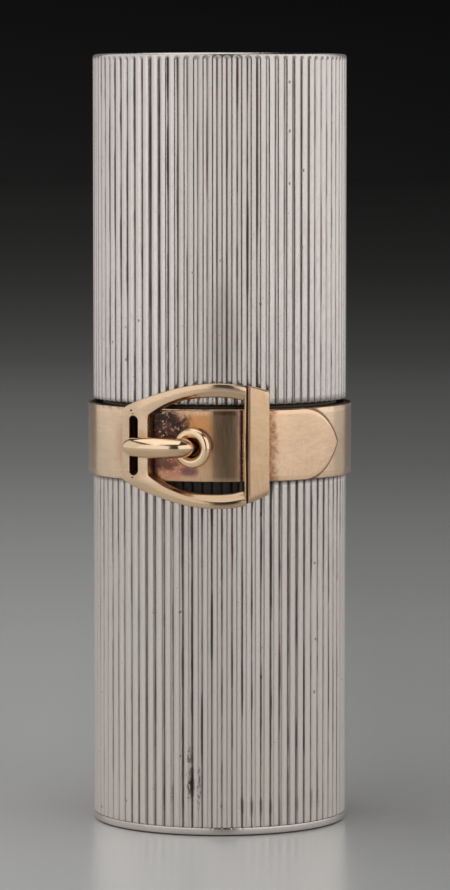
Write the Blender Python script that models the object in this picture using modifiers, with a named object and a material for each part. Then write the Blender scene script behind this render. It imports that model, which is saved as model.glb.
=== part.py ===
"""Pocket lipstick case with a twist-up mechanism.

A reeded silver body and a reeded silver pull-off cap meet at a gold belt band. The band
carries a stirrup buckle: a curved frame with a slotted bar, a keeper, an eyelet, a tongue
and the free end of the strap with its pointed tip.

Inside, a slotted guide tube stands on a foot in the body. A spiral tube with two helical
slots turns round it, driven by the neck sleeve that shows when the cap is off. A carrier
cup slides in the guide tube. Its two lugs pass through the straight slots into the helical
ones, so turning the neck lifts the cup and the lipstick bullet.

Frame: +Z up along the case's axis, origin at the centre of the foot's flat underside, and
the buckle faces -Y. All dimensions below are millimetres and degrees.
"""

import math

import bmesh
import bpy
from mathutils import Matrix

MM = 0.001

# ---- case ----
HEIGHT = 60.5
CASE_R = 10.0  # over the crests of the reeding
BORE_R = 9.3  # inside of both shells
RIBS = 80
RIB_DEPTH = 0.17
BASE_RIB_PHASE = 1.08  # degrees, centre of one groove on the body
CAP_RIB_PHASE = -1.08  # the cap's grooves don't line up with the body's
DISC_T = 0.62  # soldered end disc of the body
SEAM = 0.04
BASE_TOP = 33.15
CAP_BOTTOM = 33.45
CAP_DISC_Z = 59.95

# ---- belt and buckle: angles from the front, positive towards +X ----
BAND_R0, BAND_R1 = 10.04, 10.42
BAND_Z0, BAND_Z1 = 27.55, 33.15
STRAP_R0, STRAP_R1 = 10.46, 10.72
STRAP_Z0, STRAP_Z1 = 27.60, 33.08
STRAP_START, STRAP_SHOULDER, STRAP_TIP = -38.0, 38.0, 59.0
BUCKLE_Z = 30.40
FRAME_R0, FRAME_R1 = 10.80, 11.60
KEEPER_R0, KEEPER_R1 = 10.80, 11.85
PIN_Z = 30.27
EYELET_PHI = -11.5
EYELET_MAJOR, EYELET_MINOR = 1.13, 0.375
EYELET_HOLE_R = 0.66
# (angle, half height) of the buckle frame's outline and of its window
FRAME_OUTER = [
    (-41.0, 0.0), (-40.95, 1.3), (-40.5, 2.2), (-39.7, 2.62), (-37.5, 3.03), (-32.6, 3.47),
    (-27.4, 3.82), (-22.6, 4.13), (-17.9, 4.38), (-13.3, 4.58), (-8.9, 4.72), (-4.5, 4.80),
    (-0.15, 4.83), (4.2, 4.78), (8.4, 4.64), (10.55, 4.54),
]
FRAME_WINDOW = [
    (-28.5, 0.0), (-28.5, 1.9), (-28.3, 2.22), (-25.9, 2.62), (-23.4, 2.84), (-20.5, 3.10),
    (-16.5, 3.37), (-11.5, 3.58), (-7.0, 3.69), (-2.4, 3.75), (2.0, 3.73), (6.0, 3.63),
    (9.2, 3.48),
]
SLOT_PHI0, SLOT_PHI1, SLOT_Z0, SLOT_Z1 = -37.05, -33.0, 28.05, 32.60
# keeper outline: (angle, half height)
KEEPER_SIDE = [(10.75, 4.52), (14.0, 4.44), (17.2, 4.24), (18.4, 4.08), (18.95, 3.80)]
# tongue centreline: (angle, radius from the case's axis, tongue radius)
TONGUE = [
    (-38.3, 12.00, 0.12), (-37.5, 12.08, 0.34), (-35.6, 12.22, 0.50), (-32.5, 12.38, 0.66),
    (-28.7, 12.47, 0.74), (-24.5, 12.47, 0.75), (-20.5, 12.40, 0.73), (-17.2, 12.27, 0.68),
    (-14.7, 12.02, 0.62), (-12.8, 11.66, 0.57), (-11.8, 11.22, 0.53), (-11.5, 10.85, 0.50),
    (-11.5, 10.53, 0.48),
]

# ---- liners ----
LINER_R0, LINER_R1 = 8.62, 9.22
BASE_LINER_Z0, BASE_LINER_Z1 = 3.92, 33.40
CAP_LINER_TOP, CAP_LINER_ROOF = 59.60, 59.20
GRIP_Z0, GRIP_Z1 = 37.0, 38.2
GRIP_R0, GRIP_R1, GRIP_GROOVE_R = 8.55, 8.93, 9.0
GRIP_GAP_DEG = 12.0

# ---- twist mechanism ----
STEPS = 32  # facets of the turned inner pieces, 11.25 degrees each
FOOT_R, FOOT_TOP = 9.2, 2.20
WASHER_Z0, WASHER_Z1, WASHER_R0, WASHER_R1 = 2.25, 2.85, 7.45, 9.1
NECK_R0, NECK_R1, NECK_Z0, NECK_TOP = 8.2, 8.5, 2.95, 42.0
LIP_R, LIP_T = 6.6, 0.5
RING_R0, RING_R1, RING_Z0, RING_Z1 = 8.54, 9.1, 3.0, 3.8
SPIRAL_R0, SPIRAL_R1, SPIRAL_Z0, SPIRAL_Z1 = 7.42, 8.12, 2.95, 41.4
GUIDE_R0, GUIDE_R1, GUIDE_Z0, GUIDE_Z1 = 6.8, 7.32, 2.25, 41.3
TRAVEL = 24.0
TURNS = 1.5
LEAD = TRAVEL / TURNS
LUG_R, LUG_Z, LUG_X0, LUG_X1 = 0.55, 5.8, 6.77, 8.0
SPIRAL_SLOT_H = 1.5
GUIDE_SLOT_W = 1.4
CUP_R0, CUP_R1, CUP_Z0, CUP_Z1, CUP_FLOOR = 6.12, 6.72, 4.0, 16.0, 0.6
BULLET_R, BULLET_TIP = 6.05, 34.8
BULLET_SLANT = 48.0


# ---------------------------------------------------------------- scene
for old in list(bpy.data.objects):
    bpy.data.objects.remove(old)

case_collection = bpy.data.collections.new("lipstick_case")
cutter_collection = bpy.data.collections.new("cutters")
bpy.context.scene.collection.children.link(case_collection)
bpy.context.scene.collection.children.link(cutter_collection)


def metal(name, colour, roughness, metallic=1.0):
    made = bpy.data.materials.new(name)
    made.use_nodes = True
    shader = made.node_tree.nodes["Principled BSDF"]
    shader.inputs["Base Color"].default_value = (*colour, 1.0)
    shader.inputs["Roughness"].default_value = roughness
    shader.inputs["Metallic"].default_value = metallic
    made.diffuse_color = (*colour, 1.0)
    return made


SILVER = metal("sterling_silver", (0.78, 0.75, 0.72), 0.32)
GOLD = metal("yellow_gold", (0.83, 0.63, 0.40), 0.28)
GILT = metal("gilt_liner", (0.84, 0.66, 0.36), 0.25)
BRASS = metal("mechanism_brass", (0.70, 0.55, 0.30), 0.40)
NYLON = metal("nylon", (0.86, 0.85, 0.80), 0.50, 0.0)
POMADE = metal("lipstick", (0.50, 0.03, 0.04), 0.35, 0.0)


def empty(name, z):
    made = bpy.data.objects.new(name, None)
    made.empty_display_size = 4 * MM
    made.location = (0.0, 0.0, z * MM)
    case_collection.objects.link(made)
    return made


# One empty for each rigid body. All three joints act along the case's own axis.
BASE = empty("base_body", 0.0)
CAP = empty("cap_axis", CAP_BOTTOM)
COLLAR = empty("collar_axis", NECK_Z0)
CARRIER = empty("carrier_axis", CUP_Z0)


def place(obj, body, material, sharp_deg=35.0):
    """Links obj with its material, under its body's empty, keeping its place in the world."""
    if obj.name not in case_collection.objects:
        case_collection.objects.link(obj)
    for other in list(obj.users_collection):
        if other is not case_collection:
            other.objects.unlink(obj)
    obj.data.materials.clear()
    obj.data.materials.append(material)
    if obj.type == "MESH":
        obj.data.shade_smooth()
        obj.data.set_sharp_from_angle(angle=math.radians(sharp_deg))
    obj.parent = body
    obj.matrix_parent_inverse = Matrix.Translation(-body.location)
    return obj


def helper(obj):
    """Marks obj as a cutter, which is not part of the case."""
    for other in list(obj.users_collection):
        other.objects.unlink(obj)
    cutter_collection.objects.link(obj)
    obj.hide_render = True
    obj.display_type = "WIRE"
    return obj


def to_mesh(obj):
    """The curve as a mesh object of the same name and place, with its caps welded on."""
    bpy.context.view_layer.update()
    graph = bpy.context.evaluated_depsgraph_get()
    data = bpy.data.meshes.new_from_object(obj.evaluated_get(graph))
    bm = bmesh.new()
    bm.from_mesh(data)
    bmesh.ops.remove_doubles(bm, verts=bm.verts, dist=1e-6)
    bmesh.ops.recalc_face_normals(bm, faces=bm.faces)
    bm.to_mesh(data)
    bm.free()
    name, matrix = obj.name, obj.matrix_world.copy()
    bpy.data.objects.remove(obj)
    made = bpy.data.objects.new(name, data)
    data.name = name
    made.matrix_world = matrix
    case_collection.objects.link(made)
    return made


def turned(name, profile, z0=0.0, steps=STEPS, closed=True, angle=360.0, rise=0.0, start=0.0):
    """A turned piece. profile is (radius, height) in the world, and runs down its outer side first."""
    data = bpy.data.meshes.new(name)
    verts = [(r * MM, 0.0, (z - z0) * MM) for r, z in profile]
    edges = [(i, i + 1) for i in range(len(verts) - 1)]
    if closed:
        edges.append((len(verts) - 1, 0))
    data.from_pydata(verts, edges, [])
    obj = bpy.data.objects.new(name, data)
    obj.location = (0.0, 0.0, z0 * MM)
    obj.rotation_euler = (0.0, 0.0, math.radians(start))
    case_collection.objects.link(obj)
    screw = obj.modifiers.new("turn", "SCREW")
    screw.axis = "Z"
    screw.angle = math.radians(angle)
    screw.screw_offset = rise * MM
    screw.steps = screw.render_steps = steps
    screw.use_merge_vertices = rise == 0.0
    screw.merge_threshold = 1e-6
    screw.use_smooth_shade = True
    return obj


def cut(obj, cutter):
    boolean = obj.modifiers.new("cut_" + cutter.name, "BOOLEAN")
    boolean.operation = "DIFFERENCE"
    boolean.solver = "EXACT"
    boolean.object = cutter


def flat_outline(name, loops, thickness):
    """A flat piece in its own XY plane, centred on it. The first loop is the outside, the rest are holes."""
    data = bpy.data.curves.new(name, "CURVE")
    data.dimensions = "2D"
    data.fill_mode = "BOTH"
    data.extrude = thickness / 2 * MM
    for loop in loops:
        spline = data.splines.new("POLY")
        spline.points.add(len(loop) - 1)
        for point, (x, y) in zip(spline.points, loop):
            point.co = (x * MM, y * MM, 0.0, 1.0)
        spline.use_cyclic_u = True
    obj = bpy.data.objects.new(name, data)
    case_collection.objects.link(obj)
    return obj


def circle(radius, count, phase=0.0):
    return [
        (
            radius * math.cos(phase + 2 * math.pi * i / count),
            radius * math.sin(phase + 2 * math.pi * i / count),
        )
        for i in range(count)
    ]


def smooth_line(points, per_span=3):
    """A Catmull-Rom line through the points."""
    ends = [points[0], *points, points[-1]]
    found = []
    for i in range(1, len(ends) - 2):
        a, b, c, d = ends[i - 1], ends[i], ends[i + 1], ends[i + 2]
        for k in range(per_span):
            t = k / per_span
            found.append(
                tuple(
                    0.5
                    * (
                        2 * b[j]
                        + (c[j] - a[j]) * t
                        + (2 * a[j] - 5 * b[j] + 4 * c[j] - d[j]) * t * t
                        + (3 * b[j] - a[j] - 3 * c[j] + d[j]) * t**3
                    )
                    for j in range(2)
                )
            )
    found.append(points[-1])
    return found


def mirrored_loop(half, middle):
    """A closed outline from one line of (angle, half height), mirrored about the height middle."""
    lower = [(a, middle - h) for a, h in half]
    upper = [(a, middle + h) for a, h in reversed(half) if h > 1e-6]
    return lower + upper


def wrapped(name, loops, r0, r1, cuts_deg):
    """A plate between radii r0 and r1 bent round the case. Its loops are (angle, height).

    The flat plate is split across at the angles cuts_deg, so that it can bend there.
    """
    middle = (r0 + r1) / 2
    plane = [[(math.radians(a) * middle, z) for a, z in loop] for loop in loops]
    obj = to_mesh(flat_outline(name, plane, r1 - r0))
    bm = bmesh.new()
    bm.from_mesh(obj.data)
    stations = [math.radians(a) * middle * MM for a in cuts_deg]
    for x in stations:
        bmesh.ops.bisect_plane(
            bm,
            geom=[*bm.verts, *bm.edges, *bm.faces],
            dist=2e-7,
            plane_co=(x, 0.0, 0.0),
            plane_no=(1.0, 0.0, 0.0),
        )
    spare = []
    for e in bm.edges:
        a, b = e.verts
        flat = len(e.link_faces) == 2 and e.link_faces[0].normal.dot(e.link_faces[1].normal) > 0.9999
        on_cut = any(abs(a.co.x - x) < 3e-7 and abs(b.co.x - x) < 3e-7 for x in stations)
        if flat and not on_cut and abs(a.co.z - b.co.z) < 1e-7:
            spare.append(e)
    bmesh.ops.dissolve_edges(bm, edges=spare, use_verts=True)
    bmesh.ops.triangulate(bm, faces=bm.faces)
    for v in bm.verts:
        turn, r = v.co.x / (middle * MM), middle * MM + v.co.z
        v.co = (r * math.sin(turn), -r * math.cos(turn), v.co.y)
    bmesh.ops.recalc_face_normals(bm, faces=bm.faces)
    bm.to_mesh(obj.data)
    bm.free()
    return obj


def reeded_tube(name, z0, z1, phase_deg):
    """A tube whose outside is eighty convex ribs between V grooves. The phase is a groove's angle from the front."""
    outline = []
    pitch = 2 * math.pi / RIBS
    for i in range(RIBS):
        groove = math.radians(phase_deg - 90.0) + i * pitch
        for share, depth in ((0.0, RIB_DEPTH), (0.15, 0.05), (0.5, 0.0), (0.85, 0.05)):
            turn = groove + share * pitch
            r = CASE_R - depth
            outline.append((r * math.cos(turn), r * math.sin(turn)))
    obj = flat_outline(name, [outline, circle(BORE_R, 64)], z1 - z0)
    obj.location = (0.0, 0.0, (z0 + z1) / 2 * MM)
    return to_mesh(obj)


# ---------------------------------------------------------------- body shell and its ends
place(reeded_tube("base_shell", DISC_T + SEAM, BASE_TOP, BASE_RIB_PHASE), BASE, SILVER, 15)

place(
    turned(
        "base_bottom_disc",
        [(0, DISC_T), (CASE_R - 0.05, DISC_T), (CASE_R - 0.05, 0.15), (CASE_R - 0.2, 0), (0, 0)],
        closed=False,
        steps=80,
    ),
    BASE,
    SILVER,
)

place(
    turned(
        "base_liner",
        [
            (LINER_R1 - 0.1, BASE_LINER_Z1),
            (LINER_R1, BASE_LINER_Z1 - 0.1),
            (LINER_R1, BASE_LINER_Z0),
            (LINER_R0, BASE_LINER_Z0),
            (LINER_R0, BASE_LINER_Z1),
        ],
        z0=BASE_LINER_Z0,
    ),
    BASE,
    GILT,
)

# ---------------------------------------------------------------- cap
place(reeded_tube("cap_shell", CAP_BOTTOM, CAP_DISC_Z - SEAM, CAP_RIB_PHASE), CAP, SILVER, 15)

place(
    turned(
        "cap_top_disc",
        [
            (0, HEIGHT),
            (CASE_R - 0.3, HEIGHT),
            (CASE_R - 0.12, HEIGHT - 0.06),
            (CASE_R - 0.03, HEIGHT - 0.25),
            (CASE_R - 0.03, CAP_DISC_Z),
            (0, CAP_DISC_Z),
        ],
        z0=CAP_DISC_Z,
        closed=False,
        steps=80,
    ),
    CAP,
    SILVER,
)

# The cap's liner is a drawn cup with its mouth down, and a groove for the grip ring.
place(
    turned(
        "cap_liner",
        [
            (0, CAP_LINER_TOP),
            (LINER_R1, CAP_LINER_TOP),
            (LINER_R1, CAP_BOTTOM + 0.08),
            (LINER_R1 - 0.08, CAP_BOTTOM),
            (LINER_R0 + 0.15, CAP_BOTTOM),
            (LINER_R0, CAP_BOTTOM + 0.25),
            (LINER_R0, GRIP_Z0),
            (GRIP_GROOVE_R, GRIP_Z0),
            (GRIP_GROOVE_R, GRIP_Z1),
            (LINER_R0, GRIP_Z1),
            (LINER_R0, CAP_LINER_ROOF),
            (0, CAP_LINER_ROOF),
        ],
        z0=CAP_BOTTOM,
        closed=False,
    ),
    CAP,
    GILT,
)


def split_ring(name, r0, r1, z0, z1, gap_deg, count=37):
    """A flat spring ring with a gap at the back."""
    half = math.radians(gap_deg / 2)
    turns = [
        math.pi / 2 + half + (2 * math.pi - 2 * half) * i / (count - 1) for i in range(count)
    ]
    loop = [(r1 * math.cos(t), r1 * math.sin(t)) for t in turns]
    loop += [(r0 * math.cos(t), r0 * math.sin(t)) for t in reversed(turns)]
    obj = flat_outline(name, [loop], z1 - z0)
    obj.location = (0.0, 0.0, (z0 + z1) / 2 * MM)
    return to_mesh(obj)


place(
    split_ring(
        "cap_grip_ring", GRIP_R0, GRIP_R1, GRIP_Z0 + 0.05, GRIP_Z1 - 0.05, GRIP_GAP_DEG
    ),
    CAP,
    BRASS,
)

# ---------------------------------------------------------------- belt
place(
    turned(
        "belt_band",
        [
            (BAND_R0, BAND_Z1),
            (BAND_R1 - 0.12, BAND_Z1),
            (BAND_R1, BAND_Z1 - 0.12),
            (BAND_R1, BAND_Z0 + 0.12),
            (BAND_R1 - 0.12, BAND_Z0),
            (BAND_R0, BAND_Z0),
        ],
        z0=BAND_Z0,
        steps=64,
    ),
    BASE,
    GOLD,
)


def strap_loop():
    """The strap's free end: straight sides, then two arcs that meet in a blunt point."""
    middle, half = (STRAP_Z0 + STRAP_Z1) / 2, (STRAP_Z1 - STRAP_Z0) / 2
    length = STRAP_TIP - STRAP_SHOULDER
    side = [(STRAP_START, half), (STRAP_SHOULDER, half)]
    for i in range(1, 13):
        t = i / 12
        side.append((STRAP_SHOULDER + length * t, half * (1 - t**2.0) ** 0.85))
    return mirrored_loop(side, middle)


strap = place(
    wrapped(
        "belt_strap_end", [strap_loop()], STRAP_R0, STRAP_R1, [i * 4.5 - 36.0 for i in range(21)]
    ),
    BASE,
    GOLD,
)
eyelet_turn = math.radians(EYELET_PHI)
eyelet_axis = Matrix.Rotation(eyelet_turn, 4, "Z") @ Matrix.Rotation(math.pi / 2, 4, "X")
bpy.ops.mesh.primitive_cylinder_add(vertices=24, radius=EYELET_HOLE_R * MM, depth=1.4 * MM)
hole_cutter = helper(bpy.context.object)
hole_cutter.name = "eyelet_hole_cutter"
hole_cutter.matrix_world = (
    Matrix.Translation(
        (
            10.6 * MM * math.sin(eyelet_turn),
            -10.6 * MM * math.cos(eyelet_turn),
            PIN_Z * MM,
        )
    )
    @ eyelet_axis
)
cut(strap, hole_cutter)

bpy.ops.mesh.primitive_torus_add(
    major_radius=EYELET_MAJOR * MM,
    minor_radius=EYELET_MINOR * MM,
    major_segments=28,
    minor_segments=8,
)
eyelet = bpy.context.object
eyelet.name = "strap_eyelet"
eyelet.data.transform(Matrix.Diagonal((1.0, 1.0, 0.85, 1.0)))
eyelet_r = STRAP_R1 + 0.04 + EYELET_MINOR * 0.85
eyelet.matrix_world = (
    Matrix.Translation(
        (
            eyelet_r * MM * math.sin(eyelet_turn),
            -eyelet_r * MM * math.cos(eyelet_turn),
            PIN_Z * MM,
        )
    )
    @ eyelet_axis
)
place(eyelet, BASE, GOLD)

# ---------------------------------------------------------------- buckle


def rounded_slot():
    middle, half = (SLOT_Z0 + SLOT_Z1) / 2, (SLOT_Z1 - SLOT_Z0) / 2
    centre, reach = (SLOT_PHI0 + SLOT_PHI1) / 2, (SLOT_PHI1 - SLOT_PHI0) / 2
    r = math.radians(reach) * (FRAME_R0 + FRAME_R1) / 2
    loop = []
    for i in range(7):
        t = math.pi * i / 6
        loop.append((centre + reach * math.cos(t), middle + half - r + r * math.sin(t)))
    for i in range(7):
        t = math.pi + math.pi * i / 6
        loop.append((centre + reach * math.cos(t), middle - half + r + r * math.sin(t)))
    return loop


def closed_between(half_line, right_deg, middle):
    """The half outline smoothed, closed by a straight side at the angle right_deg."""
    line = smooth_line(half_line, 2)
    line = [(min(a, right_deg), h) for a, h in line]
    return mirrored_loop(line, middle)


place(
    wrapped(
        "buckle_frame",
        [
            closed_between(FRAME_OUTER, 10.55, BUCKLE_Z),
            closed_between(FRAME_WINDOW, 9.2, BUCKLE_Z),
            rounded_slot(),
        ],
        FRAME_R0,
        FRAME_R1,
        [i * 4.0 - 39.0 for i in range(13)],
    ),
    BASE,
    GOLD,
)

keeper_half = [(KEEPER_SIDE[0][0], KEEPER_SIDE[0][1]), *KEEPER_SIDE[1:]]
place(
    wrapped(
        "buckle_keeper",
        [mirrored_loop(keeper_half, BUCKLE_Z)],
        KEEPER_R0,
        KEEPER_R1,
        [],
    ),
    BASE,
    GOLD,
)

tongue_curve = bpy.data.curves.new("buckle_tongue", "CURVE")
tongue_curve.dimensions = "3D"
tongue_curve.bevel_depth = 1.0 * MM
tongue_curve.bevel_resolution = 3
tongue_curve.use_fill_caps = True
tongue_spline = tongue_curve.splines.new("POLY")
tongue_spline.points.add(len(TONGUE) - 1)
for point, (a, r, thick) in zip(tongue_spline.points, TONGUE):
    turn = math.radians(a)
    point.co = (r * MM * math.sin(turn), -r * MM * math.cos(turn), PIN_Z * MM, 1.0)
    point.radius = thick
tongue = bpy.data.objects.new("buckle_tongue", tongue_curve)
case_collection.objects.link(tongue)
place(to_mesh(tongue), BASE, GOLD, 60)

# ---------------------------------------------------------------- mechanism, fixed in the body
place(
    turned(
        "mechanism_foot",
        [
            (0, FOOT_TOP),
            (FOOT_R - 0.15, FOOT_TOP),
            (FOOT_R, FOOT_TOP - 0.15),
            (FOOT_R, DISC_T + SEAM),
            (0, DISC_T + SEAM),
        ],
        z0=DISC_T + SEAM,
        closed=False,
    ),
    BASE,
    BRASS,
)

guide_tube = place(
    turned(
        "guide_tube",
        [
            (GUIDE_R1, GUIDE_Z1),
            (GUIDE_R1, GUIDE_Z0),
            (GUIDE_R0, GUIDE_Z0),
            (GUIDE_R0, GUIDE_Z1),
        ],
        z0=GUIDE_Z0,
    ),
    BASE,
    BRASS,
)
slot_low, slot_high = LUG_Z - LUG_R - 0.35, LUG_Z + TRAVEL + LUG_R + 0.35
bpy.ops.mesh.primitive_cube_add(size=1.0)
guide_slot_cutter = helper(bpy.context.object)
guide_slot_cutter.name = "guide_slot_cutter"
guide_slot_cutter.scale = (20 * MM, GUIDE_SLOT_W * MM, (slot_high - slot_low) * MM)
guide_slot_cutter.location = (0.0, 0.0, (slot_low + slot_high) / 2 * MM)
cut(guide_tube, guide_slot_cutter)

place(
    turned(
        "friction_washer",
        [
            (WASHER_R1, WASHER_Z1),
            (WASHER_R1, WASHER_Z0),
            (WASHER_R0, WASHER_Z0),
            (WASHER_R0, WASHER_Z1),
        ],
        z0=WASHER_Z0,
    ),
    BASE,
    NYLON,
)

# ---------------------------------------------------------------- collar: what turns
place(
    turned(
        "neck_sleeve",
        [
            (NECK_R1 - 0.3, NECK_TOP),
            (NECK_R1 - 0.09, NECK_TOP - 0.09),
            (NECK_R1, NECK_TOP - 0.3),
            (NECK_R1, NECK_Z0),
            (NECK_R0, NECK_Z0),
            (NECK_R0, NECK_TOP - LIP_T),
            (LIP_R, NECK_TOP - LIP_T),
            (LIP_R, NECK_TOP - 0.15),
            (LIP_R + 0.15, NECK_TOP),
        ],
        z0=NECK_Z0,
    ),
    COLLAR,
    GILT,
)

place(
    turned(
        "sleeve_retaining_ring",
        [(RING_R1, RING_Z1), (RING_R1, RING_Z0), (RING_R0, RING_Z0), (RING_R0, RING_Z1)],
        z0=RING_Z0,
    ),
    COLLAR,
    BRASS,
)

spiral_tube = place(
    turned(
        "spiral_tube",
        [
            (SPIRAL_R1, SPIRAL_Z1),
            (SPIRAL_R1, SPIRAL_Z0),
            (SPIRAL_R0, SPIRAL_Z0),
            (SPIRAL_R0, SPIRAL_Z1),
        ],
        z0=SPIRAL_Z0,
    ),
    COLLAR,
    BRASS,
)


def helix_cutter(name, start_deg):
    """A square-section band that climbs LEAD each turn, for one helical slot."""
    facet = 12.0
    spare = 9.0  # turns this far past the lug at each end
    angle = TURNS * 360.0 + 2 * spare
    low = LUG_Z - LEAD * spare / 360.0
    r0, r1, h = SPIRAL_R0 - 0.35, SPIRAL_R1 + 0.35, SPIRAL_SLOT_H / 2
    band = turned(
        name + "_line",
        [(r1, low + h), (r1, low - h), (r0, low - h), (r0, low + h)],
        steps=round(angle / facet),
        angle=angle,
        rise=LEAD * angle / 360.0,
        start=start_deg - spare,
    )
    bpy.context.view_layer.update()
    graph = bpy.context.evaluated_depsgraph_get()
    data = bpy.data.meshes.new_from_object(band.evaluated_get(graph))
    matrix = band.matrix_world.copy()
    bpy.data.objects.remove(band)
    bm = bmesh.new()
    bm.from_mesh(data)
    ends = [e for e in bm.edges if e.is_boundary]
    bmesh.ops.holes_fill(bm, edges=ends, sides=0)
    bmesh.ops.recalc_face_normals(bm, faces=bm.faces)
    bm.to_mesh(data)
    bm.free()
    made = bpy.data.objects.new(name, data)
    made.matrix_world = matrix
    case_collection.objects.link(made)
    return helper(made)


cut(spiral_tube, helix_cutter("spiral_slot_cutter_right", 0.0))
cut(spiral_tube, helix_cutter("spiral_slot_cutter_left", 180.0))

# ---------------------------------------------------------------- carrier: what rises
place(
    turned(
        "carrier_cup",
        [
            (0, CUP_Z0 + CUP_FLOOR),
            (CUP_R0, CUP_Z0 + CUP_FLOOR),
            (CUP_R0, CUP_Z1),
            (CUP_R1 - 0.1, CUP_Z1),
            (CUP_R1, CUP_Z1 - 0.1),
            (CUP_R1, CUP_Z0 + 0.2),
            (CUP_R1 - 0.2, CUP_Z0),
            (0, CUP_Z0),
        ],
        z0=CUP_Z0,
        closed=False,
    ),
    CARRIER,
    GILT,
)

for side, name in ((1, "carrier_lug_right"), (-1, "carrier_lug_left")):
    bpy.ops.mesh.primitive_cylinder_add(
        vertices=16, radius=LUG_R * MM, depth=(LUG_X1 - LUG_X0) * MM
    )
    lug = bpy.context.object
    lug.name = name
    lug.rotation_euler = (0.0, math.pi / 2, 0.0)
    lug.location = (side * (LUG_X0 + LUG_X1) / 2 * MM, 0.0, LUG_Z * MM)
    place(lug, CARRIER, BRASS)

# The bullet is a turned stick with a rounded end, cut off at a slant.
bullet_low = CUP_Z0 + CUP_FLOOR + 0.05
bullet_profile = [(0, BULLET_TIP)]
for i in range(7):
    t = math.pi / 2 * i / 6
    bullet_profile.append(
        (BULLET_R - 1.6 + 1.6 * math.sin(t), BULLET_TIP - 1.6 + 1.6 * math.cos(t))
    )
bullet_profile += [(BULLET_R, bullet_low), (0, bullet_low)]
bullet = place(
    turned("lipstick_bullet", bullet_profile, z0=bullet_low, closed=False), CARRIER, POMADE
)
bpy.ops.mesh.primitive_cube_add(size=1.0)
slant_cutter = helper(bpy.context.object)
slant_cutter.name = "bullet_slant_cutter"
slant_cutter.scale = (30 * MM, 30 * MM, 20 * MM)
slope = math.radians(BULLET_SLANT)
# The slanted face starts 1.6 mm behind the stick's back edge and falls towards the front.
edge_y, edge_z = (BULLET_R - 1.7) * MM, (BULLET_TIP + 0.01) * MM
slant_cutter.rotation_euler = (slope, 0.0, 0.0)
slant_cutter.location = (
    0.0,
    edge_y - 10 * MM * math.sin(slope),
    edge_z + 10 * MM * math.cos(slope),
)
cut(bullet, slant_cutter)
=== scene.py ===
"""Looks of the lipstick case: detailed pieces, materials, floor, lights and camera.

Lengths in this file are millimetres until a mesh is made. Angles round the case are
degrees from the front (-Y), positive towards +X.
"""

import math
import random

import bmesh
import bpy
import numpy as np
from mathutils import Matrix, Vector

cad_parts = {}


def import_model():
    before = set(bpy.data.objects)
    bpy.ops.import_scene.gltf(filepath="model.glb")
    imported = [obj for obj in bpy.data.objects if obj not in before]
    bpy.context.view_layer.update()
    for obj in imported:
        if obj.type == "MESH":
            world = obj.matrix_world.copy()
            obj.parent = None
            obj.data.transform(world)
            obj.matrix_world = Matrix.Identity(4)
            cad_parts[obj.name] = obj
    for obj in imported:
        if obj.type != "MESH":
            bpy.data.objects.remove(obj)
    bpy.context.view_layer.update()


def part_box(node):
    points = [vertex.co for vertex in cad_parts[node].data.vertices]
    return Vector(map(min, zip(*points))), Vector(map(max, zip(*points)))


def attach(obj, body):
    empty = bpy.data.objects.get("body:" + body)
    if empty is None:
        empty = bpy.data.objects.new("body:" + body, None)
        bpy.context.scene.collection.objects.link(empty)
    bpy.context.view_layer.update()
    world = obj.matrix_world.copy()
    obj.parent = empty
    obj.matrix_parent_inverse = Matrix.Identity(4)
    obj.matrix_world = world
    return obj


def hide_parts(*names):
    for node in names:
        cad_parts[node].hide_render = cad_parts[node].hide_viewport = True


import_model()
MM = 0.001
RAD = math.radians


def top_of(node):
    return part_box(node)[1][2] / MM


def foot_of(node):
    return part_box(node)[0][2] / MM


# ================================================================ dimensions from the frame
CASE_R = 10.0
BORE_R = 9.3
RIBS = 80
PITCH = 2 * math.pi * CASE_R / RIBS
BASE_PHASE, CAP_PHASE = 1.08, -1.08
BASE_Z0, BASE_Z1 = foot_of("base_shell"), top_of("base_shell")
CAP_Z0, CAP_Z1 = foot_of("cap_shell"), top_of("cap_shell")
TOP_Z0, TOP_Z1 = foot_of("cap_top_disc"), top_of("cap_top_disc")
BAND_Z0, BAND_Z1 = foot_of("belt_band"), top_of("belt_band")
STRAP_Z0, STRAP_Z1 = foot_of("belt_strap_end"), top_of("belt_strap_end")
BUCKLE_Z = 30.40
PIN_Z = 30.27
EYELET_PHI = -11.0


# ================================================================ mesh helpers
def cyl(r, phi, z):
    """A point at radius r, phi degrees from the front towards +X, height z."""
    a = RAD(phi)
    return (r * math.sin(a), -r * math.cos(a), z)


def build(name, verts, faces, material, body, nodes, sharp=None, fix=True):
    mesh = bpy.data.meshes.new(name)
    mesh.from_pydata([tuple(c * MM for c in v) for v in verts], [], faces)
    obj = bpy.data.objects.new(name, mesh)
    bpy.context.scene.collection.objects.link(obj)
    if fix:
        bm = bmesh.new()
        bm.from_mesh(mesh)
        bmesh.ops.remove_doubles(bm, verts=bm.verts, dist=2e-7)
        bmesh.ops.recalc_face_normals(bm, faces=bm.faces)
        bm.to_mesh(mesh)
        bm.free()
    mesh.shade_smooth()
    if sharp is not None:
        mesh.set_sharp_from_angle(angle=RAD(sharp))
    mesh.materials.append(material)
    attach(obj, body)
    if nodes:
        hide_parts(*nodes)
    return obj


def ring_faces(rows, n, closed_rows=False):
    """Quads between rows of n points each, every row a closed ring."""
    faces = []
    last = rows if closed_rows else rows - 1
    for i in range(last):
        a, b = i * n, ((i + 1) % rows) * n
        for j in range(n):
            k = (j + 1) % n
            faces.append((a + j, a + k, b + k, b + j))
    return faces


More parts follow.
